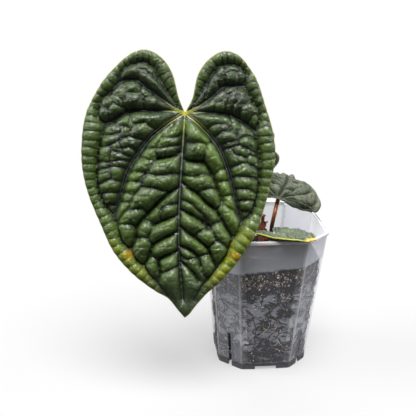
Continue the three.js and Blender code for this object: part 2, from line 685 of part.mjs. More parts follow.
// A blade: its drawing is split into triangles, alike on both faces. Corners stand along
// the veins and across the outer band first, and then in rows between them.
function makeBlade(leaf) {
  const drawing = leafDrawing(leaf);
  const lines = {
    mains: [...drawing.mains, ...drawing.collectives].flatMap((line) => spaced(line, LINE_STEP)),
    crosses: drawing.crosses.flatMap((line) => spaced(line, LINE_STEP)),
    rungs: drawing.rungs.flatMap((line) => evenly(line, 8)),
  };
  const points = [...drawing.outline];
  const addIfClear = (point, gap) => {
    if (nearest(point, points) >= gap) {
      points.push(point);
    }
  };
  const { step, gap } = leaf.mesh;
  for (const line of [...drawing.mains, ...drawing.collectives, ...drawing.crosses]) {
    spaced(line, step).filter((point) => isInside(point, drawing.outline))
      .forEach((point) => addIfClear(point, gap));
  }
  for (const side of drawing.sides) {
    for (let index = 2; index < side.edge.length - 2; index += 1) {
      const shares = index % 2 ? [0.5] : [0.35, 0.7];
      for (const share of shares) {
        addIfClear([0, 1].map((axis) => THREE.MathUtils.lerp(side.foot[index][axis],
          side.edge[index][axis], share)), gap * 0.85);
      }
    }
  }
  const veins = [...lines.mains, ...lines.crosses];
  const reach = 170 * leaf.scale;
  let row = 0;
  for (let v = -reach; v < reach; v += step * 0.86) {
    row += 1;
    for (let u = -reach + (row % 2) * step * 0.5; u < reach; u += step) {
      const point = [u, v];
      if (isInside(point, drawing.outline) && nearest(point, veins) > gap) {
        addIfClear(point, gap);
      }
    }
  }
  const kept = triangulate(points).filter((corners) => {
    const middle = [0, 1].map((axis) => corners.reduce((sum, corner) => sum + points[corner][axis], 0) / 3);
    return isInside(middle, drawing.outline);
  });
  const upper = points.map((point) => placeOnBlade(leaf, ...point, -grooveDepth(point, leaf, lines)));
  const lower = points.map((point) => placeOnBlade(leaf, ...point,
    -grooveDepth(point, leaf, lines) - leaf.thickness));
  const edges = new Map();
  for (const [a, b, c] of kept) {
    for (const [from, to] of [[a, b], [b, c], [c, a]]) {
      if (!edges.delete(`${to},${from}`)) {
        edges.set(`${from},${to}`, [from, to]);
      }
    }
  }
  const below = points.length;
  const triangles = kept.flatMap(([a, b, c]) => [[a, b, c], [c + below, b + below, a + below]]);
  for (const [from, to] of edges.values()) {
    triangles.push([to, from, from + below], [to, from + below, to + below]);
  }
  return meshOf(leaf.name, bodyFrom([...upper, ...lower], triangles), leaf.colour, 0.4);
}

// Petioles, each from the top of the stem to just behind its blade.

function petioleRadius(share, radius) {
  const knee = KNEE.swell * Math.exp(-(((share - KNEE.place) / KNEE.spread) ** 2));
  const flare = FLARE.swell * Math.exp(-share / FLARE.spread);
  return radius * (1 + knee + flare);
}

// "foot" is the place on the stem's top and "bends" the way from there. The end lies
// behind the blade, a little tipward of the notch between its lobes.
function makePetiole(name, leaf, radius, colour, foot, bends) {
  const tipward = new THREE.Vector3(...leaf.tipward).normalize();
  const face = new THREE.Vector3(...leaf.face).normalize();
  const end = new THREE.Vector3(...leaf.attach).addScaledVector(tipward, radius)
    .addScaledVector(face, -(leaf.thickness + 0.5 * leaf.groove + JOINT_GAP));
  const approach = end.clone().addScaledVector(face, -4 * radius);
  const base = STEM_TOP[2] + FOOT_GAP;
  const route = [[...foot, base], [...foot, base + radius], ...bends, approach.toArray(), end.toArray()];
  const length = new THREE.CatmullRomCurve3(route.map((point) => new THREE.Vector3(...point))).getLength();
  const steps = Math.max(9, Math.round(length / (radius * 3)));
  return meshOf(name, tube(route, (share) => petioleRadius(share, radius), steps, 8), colour, 0.5);
}

// A dry sheath: a curled sheet round the stem's side, which narrows to a torn point. The
// turns are degrees round the stem, from its one edge to the other and to its point.
function makeCataphyll(name, height, fromTurn, toTurn, pointTurn) {
  const steps = 7;
  const across = 5;
  const rings = [];
  for (let step = 0; step <= steps; step += 1) {
    const share = step / steps;
    const narrow = share ** 2.6;
    const torn = step % 2 ? SHEATH_TEAR : 0;
    const first = THREE.MathUtils.lerp(fromTurn, pointTurn - 2, narrow);
    const last = THREE.MathUtils.lerp(toTurn - torn, pointTurn + 4, narrow);
    const arc = (radius) => Array.from({ length: across }, (_, index) => {
      const turn = THREE.MathUtils.degToRad(THREE.MathUtils.lerp(first, last, index / (across - 1)));
      return [
        STEM_TOP[0] + radius * Math.cos(turn),
        STEM_TOP[1] + radius * Math.sin(turn),
        SHEATH_FOOT + share * height,
      ];
    });
    const radius = STEM_RADIUS + JOINT_GAP + SHEATH_LEAN * (share - 0.4);
    rings.push([...arc(radius + SHEATH_THICKNESS), ...arc(radius).reverse()]);
  }
  return meshOf(name, loft(rings), COLOURS.cataphyll, 0.85);
}

const anthurium = new THREE.Group();
anthurium.add(makePot());
anthurium.add(makeSoil());
anthurium.add(meshOf('stem_and_roots', geometryOf(stemWithRoots(0)), COLOURS.root, 0.8));
for (const leaf of [LARGE_LEAF, RIGHT_LEAF, FRONT_LEAF, REAR_LEAF]) {
  anthurium.add(makeBlade(leaf));
}
anthurium.add(makePetiole('petiole_large', LARGE_LEAF, 2.6, COLOURS.petioleLarge,
  [0.6, 0.6], [[-5, 3, 118], [-20, 6, 150], [-43, 2, 186], [-62, -12, 209]]));
anthurium.add(makePetiole('petiole_right', RIGHT_LEAF, 1.5, COLOURS.petioleSmall,
  [7.2, 1], [[7.2, 0.8, 112], [9.3, 0.9, 127]]));
anthurium.add(makePetiole('petiole_front', FRONT_LEAF, 1.4, COLOURS.petioleSmall,
  [4.6, -4.6], [[5, -9, 104.5]]));
anthurium.add(makePetiole('petiole_rear', REAR_LEAF, 1.3, COLOURS.petioleSmall,
  [4.8, 4.8], [[-3, 12, 114], [-20, 20, 132], [-20, 29, 152], [-8, 33, 168]]));
anthurium.add(makeCataphyll('cataphyll_tall', 33, 190, 258, 229));
anthurium.add(makeCataphyll('cataphyll_short', 15, 298, 345, 302));

export default anthurium;
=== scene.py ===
"""A potted young Anthurium luxurians in a frosted nursery pot. Metres, +Z up."""
import functools
import math
import random

import bmesh
import bpy
import numpy as np
from mathutils import Matrix, Vector


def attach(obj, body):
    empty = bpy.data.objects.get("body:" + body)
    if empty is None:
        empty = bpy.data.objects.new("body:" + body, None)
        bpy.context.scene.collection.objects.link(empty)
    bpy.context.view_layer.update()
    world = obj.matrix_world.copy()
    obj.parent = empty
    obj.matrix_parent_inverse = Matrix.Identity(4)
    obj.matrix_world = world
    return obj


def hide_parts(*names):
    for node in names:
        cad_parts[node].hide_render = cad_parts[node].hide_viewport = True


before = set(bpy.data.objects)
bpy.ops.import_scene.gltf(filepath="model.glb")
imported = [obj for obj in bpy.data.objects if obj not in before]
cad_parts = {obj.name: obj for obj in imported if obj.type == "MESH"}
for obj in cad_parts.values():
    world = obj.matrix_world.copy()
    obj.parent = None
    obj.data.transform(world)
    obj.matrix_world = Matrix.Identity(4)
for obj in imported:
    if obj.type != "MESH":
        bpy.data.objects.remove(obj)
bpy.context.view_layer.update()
bpy.ops.object.select_all(action="DESELECT")
MM = 0.001


# The pot: a square nursery pot with cut corners, moulded in frosted polypropylene. It tapers,
# and has a stepped lip, a drain slot in each cut corner with a faint mould line above it, and
# a raised floor, so that it stands on its corners.
POT_HEIGHT = 121 * MM
POT_WALL = 1.0 * MM
BASE_HALF, BASE_CUT = 37.5 * MM, 16.8 * MM
RIM_HALF, RIM_CUT = 48.8 * MM, 19.7 * MM
LIP_FOOT, LIP_OUT = 118.2 * MM, 1.2 * MM
WALL_BOW = 0.7 * MM
RIDGE_ROUND = 1.5 * MM
SLOT_WIDTH, SLOT_TOP = 3.3 * MM, 32 * MM
MOULD_LINE_TOP = 112 * MM
FLOOR_RAISE = 3 * MM
base_reach = 2 * BASE_HALF - BASE_CUT
rim_reach = 2 * RIM_HALF - RIM_CUT
reach_slope = (rim_reach - base_reach) / POT_HEIGHT
base_flat, rim_flat = BASE_HALF - BASE_CUT, RIM_HALF - RIM_CUT


def pick(kind, test):
    """Selects the faces or edges of the mesh being edited that pass a test."""
    bpy.ops.mesh.select_mode(type="FACE" if kind == "faces" else "EDGE")
    bpy.ops.mesh.select_all(action="DESELECT")
    mesh = bmesh.from_edit_mesh(bpy.context.object.data)
    for part in getattr(mesh, kind):
        if test(part):
            part.select_set(True)
    bmesh.update_edit_mesh(bpy.context.object.data)


def slice_at(place, direction, **settings):
    """Cuts the whole mesh being edited along a plane."""
    bpy.ops.mesh.select_all(action="SELECT")
    bpy.ops.mesh.bisect(plane_co=place, plane_no=direction, **settings)


def lies_along(edge, axis):
    """Whether an edge runs along an axis."""
    return abs((edge.verts[0].co - edge.verts[1].co).normalized()[axis]) > 0.9


def add_box(size, location=(0, 0, 0), turn=(0, 0, 0)):
    """A box of a size, turned, at a place."""
    bpy.ops.mesh.primitive_cube_add(size=1)
    box = bpy.context.object
    box.scale, box.location, box.rotation_euler = size, location, turn


def settle(name):
    """Names the active object, puts its place into its mesh and leaves it deselected."""
    made = bpy.context.object
    made.name = name
    made.data.name = name
    bpy.ops.object.transform_apply(location=True, rotation=True, scale=True)
    bpy.ops.object.select_all(action="DESELECT")
    return made


def finish_with(made, kind, **settings):
    """Adds one modifier with its settings and applies it."""
    modifier = made.modifiers.new(kind.lower(), kind)
    for setting, value in settings.items():
        setattr(modifier, setting, value)
    bpy.context.view_layer.objects.active = made
    bpy.ops.object.modifier_apply(modifier=modifier.name)


add_box((2 * BASE_HALF, 2 * BASE_HALF, POT_HEIGHT), (0, 0, POT_HEIGHT / 2))
pot = settle("pot_frosted")
bpy.context.view_layer.objects.active = pot
bpy.ops.object.mode_set(mode="EDIT")
pick("faces", lambda face: face.normal.z > 0.9)
spread = RIM_HALF / BASE_HALF
bpy.ops.transform.resize(value=(spread, spread, 1), center_override=(0, 0, POT_HEIGHT))
for across, deep in ((1, 1), (-1, 1), (-1, -1), (1, -1)):
    slice_at((across * base_reach / 2, deep * base_reach / 2, 0), (across, deep, -reach_slope),
             use_fill=True, clear_outer=True)
pick("faces", lambda face: face.normal.z > 0.9)
bpy.ops.mesh.delete(type="FACE")
for place in (-12 * MM, 0, 12 * MM):
    for direction in ((1, 0, 0), (0, 1, 0)):
        slice_at([place * part for part in direction], direction)
for height in (40 * MM, 80 * MM, LIP_FOOT):
    slice_at((0, 0, height), (0, 0, 1))
pick("edges", lambda edge: lies_along(edge, 2) and len(edge.link_faces) == 2
     and edge.calc_face_angle() > 0.5)
bpy.ops.mesh.bevel(offset=RIDGE_ROUND, segments=3, affect="EDGES")
shell = bmesh.from_edit_mesh(pot.data)
for corner in shell.verts:
    for axis, other in ((0, 1), (1, 0)):
        flat = base_flat + (rim_flat - base_flat) * corner.co.z / POT_HEIGHT
        if abs(corner.co[other]) < flat and abs(corner.co[axis]) > flat + 3 * MM:
            bow = WALL_BOW * (1 - (corner.co[other] / flat) ** 2)
            corner.co[axis] += math.copysign(bow, corner.co[axis])
bmesh.update_edit_mesh(pot.data)
pick("faces", lambda face: face.calc_center_median().z > LIP_FOOT)
bpy.ops.mesh.extrude_region_shrink_fatten(
    TRANSFORM_OT_shrink_fatten={"value": LIP_OUT, "use_even_offset": True})
pick("faces", lambda face: face.normal.z < -0.9 and face.calc_center_median().z < 1 * MM)
bpy.ops.mesh.inset(thickness=1.1 * MM)
bpy.ops.transform.translate(value=(0, 0, FLOOR_RAISE))
bpy.ops.mesh.select_all(action="SELECT")
bpy.ops.mesh.normals_make_consistent(inside=False)
bpy.ops.object.mode_set(mode="OBJECT")
finish_with(pot, "SOLIDIFY", thickness=POT_WALL, offset=-1, use_even_offset=True)

cutters = []
line_middle = (SLOT_TOP + MOULD_LINE_TOP) / 2
line_reach = base_reach + reach_slope * line_middle
for corner in range(4):
    turn = math.pi / 4 + corner * math.pi / 2
    outward = Vector((math.cos(turn), math.sin(turn), 0))
    slot_out = outward * (base_reach / math.sqrt(2) + 1.5 * MM)
    add_box((9 * MM, SLOT_WIDTH, SLOT_TOP * 2), slot_out, (0, 0, turn))
    bpy.ops.object.transform_apply(location=False, rotation=False, scale=True)
    bpy.ops.object.mode_set(mode="EDIT")
    pick("edges", lambda edge: lies_along(edge, 0) and edge.verts[0].co.z > 0)
    bpy.ops.mesh.bevel(offset=SLOT_WIDTH * 0.48, segments=5, affect="EDGES")
    bpy.ops.object.mode_set(mode="OBJECT")
    cutters.append(settle("slot_cutter"))
    line_out = outward * line_reach / math.sqrt(2) + Vector((0, 0, line_middle))
    add_box((0.5 * MM, 0.8 * MM, MOULD_LINE_TOP - SLOT_TOP - 2 * MM), line_out,
            (0, math.atan(reach_slope / math.sqrt(2)), turn))
    cutters.append(settle("line_cutter"))
for quarter in range(4):
    turn = quarter * math.pi / 2
    add_box((8 * MM, 18.2 * MM, 5.4 * MM), (BASE_HALF * math.cos(turn), BASE_HALF * math.sin(turn), 0),
            (0, 0, turn))
    cutters.append(settle("notch_cutter"))
for cutter in cutters:
    finish_with(pot, "BOOLEAN", operation="DIFFERENCE", object=cutter, solver="EXACT")
    bpy.data.objects.remove(cutter)
finish_with(pot, "BEVEL", width=0.22 * MM, segments=2, limit_method="ANGLE",
            angle_limit=math.radians(40))
pot.select_set(True)
bpy.context.view_layer.objects.active = pot
bpy.ops.object.shade_smooth_by_angle(angle=math.radians(35))
bpy.ops.object.select_all(action="DESELECT")


def srgb(code):
    """A colour from its six-digit code, as the shader counts it."""
    parts = [int(code[place:place + 2], 16) / 255 for place in (0, 2, 4)]
    return [part / 12.92 if part <= 0.04045 else ((part + 0.055) / 1.055) ** 2.4 for part in parts] + [1]


def step(operation):
    """A method that adds one step of arithmetic."""
    return lambda value, other=0.0: value.nodes.add("Math", {0: value, 1: other}, operation=operation)


class Value:
    """An output of a node, for sums, products and ramps."""

    def __init__(self, nodes, socket):
        self.nodes, self.socket = nodes, socket

    __add__, __sub__, __mul__ = step("ADD"), step("SUBTRACT"), step("MULTIPLY")
    __abs__, sign, highest = step("ABSOLUTE"), step("SIGN"), step("MAXIMUM")

    def ramp(self, low, high, to_low=0.0, to_high=1.0):
        """The value mapped smoothly from one range to another, and held there."""
        return self.nodes.add("MapRange", {0: self, 1: low, 2: high, 3: to_low, 4: to_high},
                              interpolation_type="SMOOTHSTEP")


class Nodes:
    """A node tree. Inputs take plain values, colour codes or outputs."""

    def __init__(self, tree):
        self.tree = tree

    def feed(self, node, inputs):
        """Sets or links a node's inputs."""
        for socket, value in inputs.items():
            if isinstance(value, Value):
                self.tree.links.new(value.socket, node.inputs[socket])
            else:
                node.inputs[socket].default_value = srgb(value) if isinstance(value, str) else value

    def add(self, kind, inputs, *outputs, **settings):
        """One node; gives its first output, or those that are named."""
        made = self.tree.nodes.new("ShaderNode" + kind)
        for setting, value in settings.items():
            setattr(made, setting, value)
        self.feed(made, inputs)
        found = [Value(self, made.outputs[output]) for output in outputs or (0,)]
        return found if len(found) > 1 else found[0]

    def mix(self, share, first, second):
        """Two colours mixed by a share."""
        return self.add("Mix", {0: share, 6: first, 7: second}, 2, data_type="RGBA")


class Skin(Nodes):
    """A material with plain values on its shader, and the colour that its coats build up."""

    def __init__(self, name, **sockets):
        self.material = bpy.data.materials.new(name)
        self.material.use_nodes = True
        super().__init__(self.material.node_tree)
        self.shade(**sockets)

    def shade(self, **sockets):
        """Sets or links sockets of the shader."""
        self.feed(self.tree.nodes["Principled BSDF"],
                  {socket.replace("_", " "): value for socket, value in sockets.items()})

    @functools.cached_property
    def where(self):
        """The place on the object."""
        return self.add("TexCoord", {}, "Object")

    @functools.cached_property
    def axes(self):
        """The place's three parts."""
        return self.add("SeparateXYZ", {0: self.where}, "X", "Y", "Z")

    def coat(self, share, colour):
        """Lays a colour over the one built up so far."""
        self.colour = self.mix(share, self.colour, colour)

    def noise(self, scale, detail=2.0, **inputs):
        """A cloudy value."""
        inputs = {"Vector": self.where, "Scale": scale, "Detail": detail, **inputs}
        return self.add("TexNoise", inputs, "Fac")

    def patches(self, scale, detail, low, high):
        """A mask of ragged patches."""
        return self.noise(scale, detail, Roughness=0.6).ramp(low, high)

    def cells(self, scale):
        """Two values by chance for each small cell, and the distance to its middle."""
        hue, gap = self.add("TexVoronoi", {"Vector": self.where, "Scale": scale}, "Color", "Distance")
        return *self.add("SeparateColor", {0: hue}, 0, 1), gap

    def tones(self, value, first, middle, at, last):
        """A colour between three by a value; the middle one has its place."""
        found = self.add("ValToRGB", {0: value})
        stops = found.socket.node.color_ramp.elements
        stops[0].color, stops[1].color = srgb(first), srgb(last)
        stops.new(at).color = srgb(middle)
        return found

    def bump(self, height, strength, distance):
        """Small relief from a height, drawn by the shader."""
        self.shade(Normal=self.add("Bump", {"Strength": strength, "Distance": distance, "Height": height}))


# The plastic is clear below, where the damp mix lies against it, and hazier above the soil, at
# the ridges, the lip and the cut corners, which catch the light. The ridges and lip are painted
# paler, partly a painted highlight on the rounded ridges. The foot is painted dark up to a ragged edge.
frosted = Skin("frosted_polypropylene", Roughness=0.38, IOR=1.49)
x, y, z = frosted.axes
ragged = frosted.noise(260, 4)
flat_gap = z * ((RIM_HALF - BASE_HALF) / POT_HEIGHT) + BASE_HALF - abs(x).highest(abs(y))
COS_45 = 0.7071
cut_gap = (z * reach_slope + base_reach - (abs(x) + abs(y))) * COS_45
ridge_haze_and_highlight = flat_gap.highest(cut_gap).ramp(1.1 * MM, 0.5 * MM)
dry_line = x * 0.1 + y * -0.04 + ragged * (5 * MM) + 88.5 * MM
dry = (z - dry_line).ramp(0, 2 * MM)
lip = z.ramp(LIP_FOOT - 0.6 * MM, LIP_FOOT + 0.4 * MM)
cut_corner = cut_gap.ramp(2.2 * MM, 1.5 * MM)
foot = (z + ragged * (-3 * MM)).ramp(4.5 * MM, 3.5 * MM)
wall = frosted.add("Mix", {0: dry, 2: 0.062, 3: 0.28})
frost = frosted.add("Mix", {0: dry, 2: 0.14, 3: 0.21})
cloudiness = (wall + ridge_haze_and_highlight * 0.13 + lip * 0.5 + cut_corner * frost).highest(foot * 0.72)
scuffs = frosted.patches(300, 2, 0.3, 0.8)
frosted.colour = frosted.mix(dry, "b9bcc8", "e8ebf6")
frosted.coat(scuffs * 0.4, "eeeef2")
# Ridges and lip painted paler: thicker plastic, and a painted highlight along the rounded ridges.
frosted.coat(ridge_haze_and_highlight.highest(lip), "f6f6f8")
# Darker at the foot: painted dark up to a ragged edge.
frosted.coat(foot * 0.9, "262528")
frosted.shade(Alpha=cloudiness, Base_Color=frosted.colour)
frosted.bump(scuffs, 0.12, 0.2 * MM)
pot.data.materials.clear()
pot.data.materials.append(frosted.material)
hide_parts("pot")
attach(pot, "root")


# The growing medium: chunky bark, coir and peat, pressed against the wall, where it shows as
# dark crumbs with misty grey patches of condensation between. Its top stands higher at the right.
dice = random.Random(11)


def copy_of(node, name):
    """A CAD node's mesh as a new, merged piece, left in edit mode."""
    made = bpy.data.objects.new(name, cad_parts[node].data.copy())
    bpy.context.collection.objects.link(made)
    made.data.materials.clear()
    bpy.context.view_layer.objects.active = made
    made.select_set(True)
    bpy.ops.object.mode_set(mode="EDIT")
    bpy.ops.mesh.select_all(action="SELECT")
    bpy.ops.mesh.remove_doubles(threshold=0.01 * MM)
    return made


soil = copy_of("growing_medium", "potting_mix")
bpy.ops.mesh.subdivide(number_cuts=3)
bpy.ops.object.mode_set(mode="OBJECT")
bpy.ops.object.select_all(action="DESELECT")
SOIL_INSET = 0.975
for corner in soil.data.vertices:
    corner.co.x *= SOIL_INSET
    corner.co.y *= SOIL_INSET
grit = bpy.data.textures.new("grit", "CLOUDS")
grit.noise_scale = 4 * MM
grit.noise_depth = 3
finish_with(soil, "DISPLACE", texture=grit, texture_coords="LOCAL", mid_level=0.5, strength=1.0 * MM)
peat = Skin("bark_peat_mix", Roughness=0.95)
x, y, z = peat.axes
peat.colour = peat.tones(peat.cells(420)[0], "100f10", "1b191a", 0.75, "3a322e")
chance, hue, gap = peat.cells(620)
peat.coat(chance.ramp(0.86, 0.88) * gap.ramp(0.36, 0.22), peat.mix(hue, "6d5a46", "b9a98c"))
mist_line = x * 0.1 + 91 * MM
below = mist_line - z
stretched = peat.add("Mapping", {"Vector": peat.where, "Rotation": (0.5, 0.7, 0.4), "Scale": (1, 1, 1.5)})
torn = peat.noise(120, 8, Vector=stretched, Roughness=0.7, Distortion=0.5)
less_high_up, less_low_down = below.ramp(11 * MM, 24 * MM, -0.2, 0.03), z.ramp(8 * MM, 34 * MM, -0.12, 0)
torn = torn + (less_high_up + less_low_down)
mist = torn.ramp(0.465, 0.54) * below.ramp(0, 3 * MM)
droplets = peat.noise(900)
wide, deep = abs(x), abs(y)
cut_reach = z * reach_slope + (base_reach - 7.2 * MM)
# Painted light: behind the cut corners the mix is painted paler and its mist whiter, where the corners
# catch the light.
cut_corner_painted_light = (wide + deep - cut_reach).ramp(-1.2 * MM, 0)
mist_colour = peat.mix(droplets, "757882", "abaeb6")
mist_colour = peat.mix(cut_corner_painted_light, mist_colour, peat.mix(droplets, "a2a3a8", "e2e3e6"))
peat.coat(cut_corner_painted_light * 0.4, "9a9a9e")
peat.coat(mist, mist_colour)
# Painted shade: the mix behind each drain slot is painted black, as the shadowed opening.
slot_painted_shade = abs(wide - deep).ramp(4.6 * MM, 3.4 * MM) * z.ramp(SLOT_TOP + 1 * MM, SLOT_TOP - 1 * MM)
peat.coat(slot_painted_shade, "060606")
peat.shade(Base_Color=peat.colour)
peat.bump(peat.noise(420, 4) * (mist * -1 + 1), 0.8, 0.8 * MM)
soil.data.materials.append(peat.material)
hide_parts("growing_medium")
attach(soil, "root")


# Bark chips and pale flecks: flat chips of pine bark, and splinters of pale coir and wood,
# which lie on the soil and press against the inside of the wall.
WALL_GAP = 1.25 * MM
SIDE_LEAN, CUT_LEAN = -0.09, -0.16
SOIL_LEVEL, LOWEST = 91, 5


def soil_top(x, y):
    """The height of the soil's surface at a place, in millimetres."""
    lumps = (math.sin(x * 0.31 + 1.2) * math.cos(y * 0.27 + 0.5) + 0.7 * math.sin(x * 0.63 - y * 0.55)
             + 0.5 * math.cos(x * 0.9 + y * 0.8 + 2))
    return SOIL_LEVEL + 5 * x / 50 - 2 * y / 50 + lumps


def wall_place(height, turn):
    """A place just inside the wall at a height in millimetres, and the way the wall faces."""
    share = height * MM / POT_HEIGHT
    half = (BASE_HALF + (RIM_HALF - BASE_HALF) * share - WALL_GAP) / MM
    reach = ((base_reach + (rim_reach - base_reach) * share) / math.sqrt(2) - WALL_GAP) / MM
    across, deep = math.cos(turn), math.sin(turn)
    wide = half / max(abs(across), abs(deep))
    cut = reach * math.sqrt(2) / (abs(across) + abs(deep))
    if wide >= cut:
        out = (math.copysign(1, across), math.copysign(1, deep), CUT_LEAN)
    elif abs(across) > abs(deep):
        out = (math.copysign(1, across), 0, SIDE_LEAN)
    else:
        out = (0, math.copysign(1, deep), SIDE_LEAN)
    return Vector((across, deep, 0)) * min(wide, cut) + Vector((0, 0, height)), Vector(out).normalized()


def piece_from(cells, name, skin):
    """The finished piece of a mesh in the making; it rides on the plant."""
    mesh = bpy.data.meshes.new(name)
    cells.to_mesh(mesh)
    cells.free()
    mesh.materials.append(skin.material)
    piece = bpy.data.objects.new(name, mesh)
    bpy.context.collection.objects.link(piece)
    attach(piece, "root")


def scatter(name, models, places, skin):
    """Copies of a few small models at many places, joined as one piece."""
    cells = bmesh.new()
    for model, place in places:
        part = models[model].copy()
        part.transform(place)
        made = [cells.verts.new(corner.co) for corner in part.verts]
        for face in part.faces:
            cells.faces.new([made[corner.index] for corner in face.verts])
        part.free()
    piece_from(cells, name, skin)


def lump_model(stretch, jitter):
    """One small faceted lump: an icosphere whose corners are pushed about."""
    bpy.ops.mesh.primitive_ico_sphere_add(subdivisions=1, radius=0.5)
    ball = bpy.context.object
    model = bmesh.new()
    model.from_mesh(ball.data)
    for corner in model.verts:
        corner.co = Vector([part * size * (1 + dice.uniform(-jitter, jitter))
                            for part, size in zip(corner.co, stretch)])
    model.verts.index_update()
    bpy.data.objects.remove(ball)
    return model


bark_models = [lump_model((1, 0.28 + 0.13 * kind, 0.2), 0.42) for kind in range(4)]


def place_at(spot, facing, spin, size):
    """A turn, size and place: a model's flat side faces a direction."""
    turn = Vector(facing).to_track_quat("Z", "Y").to_matrix().to_4x4()
    return (Matrix.Translation(spot * MM) @ turn @ Matrix.Rotation(spin, 4, "Z") @
            Matrix.Scale(size * MM, 4))


chips, flecks = [], []
STEM_CLEAR, CORNER_CLEAR = 11, 64
for index in range(150):
    x, y = dice.uniform(-42, 42), dice.uniform(-42, 42)
    if math.hypot(x - 3, y) < STEM_CLEAR or abs(x) + abs(y) > CORNER_CLEAR:
        continue
    tilt = (dice.uniform(-0.5, 0.5), dice.uniform(-0.5, 0.5), 1)
    spot = Vector((x, y, soil_top(x, y) + 0.3))
    chips.append((index % 4, place_at(spot, tilt, dice.uniform(0, 6.28), dice.uniform(2.5, 8))))
for index in range(4200):
    depth = 1.5 + 14 * dice.random() if index % 2 else 90 * dice.random()
    turn = dice.uniform(0, 2 * math.pi)
    spot, facing = wall_place(90, turn)
    spot, facing = wall_place(soil_top(spot.x, spot.y) - depth, turn)
    if spot.z < LOWEST:
        continue
    size = 0.5 + 3 * dice.random() ** 4
    spot = spot - facing * (0.1 + 0.13 * size)
    place = place_at(spot, facing, dice.uniform(0, 6.28), size)
    (chips if index % 6 == 5 else flecks).append((index % 4, place))
bark = Skin("pine_bark", Roughness=0.85)
bark.shade(Base_Color=bark.tones(bark.cells(150)[0], "2b211c", "4a382b", 0.7, "a58a66"))
bark.bump(bark.noise(900, 3), 0.6, 0.3 * MM)
straw = Skin("pale_coir_and_perlite", Roughness=0.8)
straw.shade(Base_Color=straw.mix(straw.cells(300)[0], "6e5a42", "f2e6d0"))
scatter("bark_chips", bark_models, chips, bark)
scatter("pale_flecks", bark_models, flecks, straw)


# Coir and feeder roots: thin threads that wander over the inside of the wall, dark coir fibre
# from the mix and the pale young roots of the plant, held against the wall by the mix.
THREAD_STEP = 1.1


def add_threads(name, count, thickness, longest, skin):
    """Thin three-sided threads that wander along the wall."""
    threads = bmesh.new()
    half = thickness * 0.5
    for _ in range(count):
        turn, height = dice.uniform(0, 2 * math.pi), dice.uniform(8, 86)
        heading, curl = dice.uniform(0, 2 * math.pi), dice.uniform(-0.25, 0.25)
        rings = []
        for _ in range(round(longest * dice.uniform(0.3, 1))):
            spot, facing = wall_place(height, turn)
            if height < LOWEST or height > soil_top(spot.x, spot.y) - 1:
                break
            middle = spot - facing * 0.25
            along = Vector((-math.sin(turn), math.cos(turn), 0)) * math.cos(heading)
            along.z = math.sin(heading)
            aside = facing.cross(along).normalized()
            rings.append([threads.verts.new((middle + aside * (half * part) + facing * (half * out)) * MM)
                          for part, out in ((-1, 0), (0, 0.8), (1, 0))])
            height += math.sin(heading) * THREAD_STEP
            turn += math.cos(heading) * THREAD_STEP / 45
            curl += dice.uniform(-0.22, 0.22)
            heading += curl * 0.5
        for one, two in zip(rings, rings[1:]):
            for side in range(3):
                after = (side + 1) % 3
                threads.faces.new((one[side], one[after], two[after], two[side]))
        if len(rings) > 1:
            threads.faces.new(rings[0][::-1])
            threads.faces.new(rings[-1])
    bmesh.ops.recalc_face_normals(threads, faces=threads.faces)
    piece_from(threads, name, skin)


coir = Skin("dark_coir", Roughness=0.9)
coir.shade(Base_Color=coir.mix(coir.noise(500), "0d0c0c", "2c2522"))
add_threads("dark_threads", 420, 0.8, 16, coir)
add_threads("feeder_roots", 70, 0.45, 26, straw)


# The large blade: the drawing of its outline and of its sunken veins, on which all four
# blades are made. Each line is a run of u, v pairs in millimetres, u across and v along the
# midrib, from 0 where the petiole meets the blade. Between the veins the skin bulges.
MARGIN = {
    "left": [
        0.7, 0, -3.9, 10.7, -9.6, 30, -18, 41.4, -30, 46.8, -42, 42.6, -55, 30.7, -66.4, 15,
        -73.9, -1.4, -76.9, -22, -76.6, -42, -72, -62, -63.1, -83, -51.7, -106.6, -36, -124,
        -20.3, -135.9, -9.6, -142.3, -3.1, -150.1, 2.6, -156.6,
    ],
    "right": [
        0.7, 0, 5.9, 10, 10.5, 29.3, 18.7, 40.7, 30.1, 46.8, 41, 43.6, 53.4, 28.6, 61, 9,
        67.3, -11.4, 70, -31, 67.3, -50, 62.1, -72.3, 54.6, -93.7, 43, -112, 29.6, -128,
        19.6, -137.3, 11, -147.3, 6.2, -153.4, 2.6, -156.6,
    ],
}
COLLECTIVE = {
    "left": [
        0.7, 0, -9.6, 10.7, -15.4, 19.3, -22.9, 32.9, -30, 37.5, -38, 36.3, -44.3, 33.4,
        -48.5, 28.6, -50, 23.5, -55.3, 15.6, -62.1, 10, -64.6, 3.6, -65.5, -3.2, -60.2, -9.6,
        -62.4, -19, -64.6, -30.7, -65.4, -40.7, -65.3, -54.4, -61, -68, -53.1, -78.7,
        -48.6, -90, -45.6, -98.7, -39.6, -104.4, -35.3, -111.6, -29.2, -116.9, -23.1, -125.1,
        -16, -133, -9.5, -140.6,
    ],
    "right": [
        0.7, 0, 8, 7.1, 14.4, 18.6, 20.1, 27.9, 24.5, 34.6, 31, 37, 39, 36.6, 45, 33,
        47.6, 28.6, 45.4, 21.4, 50, 14.6, 53, 8.6, 57, 3.5, 57.6, -3, 55.1, -13.6, 56.8, -24,
        58, -33.6, 58.5, -43, 57.5, -55, 55.6, -67.3, 51.7, -76.6, 45.3, -82.4, 41.7, -90.9,
        37, -98, 33.9, -107.3, 26.7, -117.6, 20.3, -125.9, 14.6, -133.7, 9.3, -144,
    ],
}
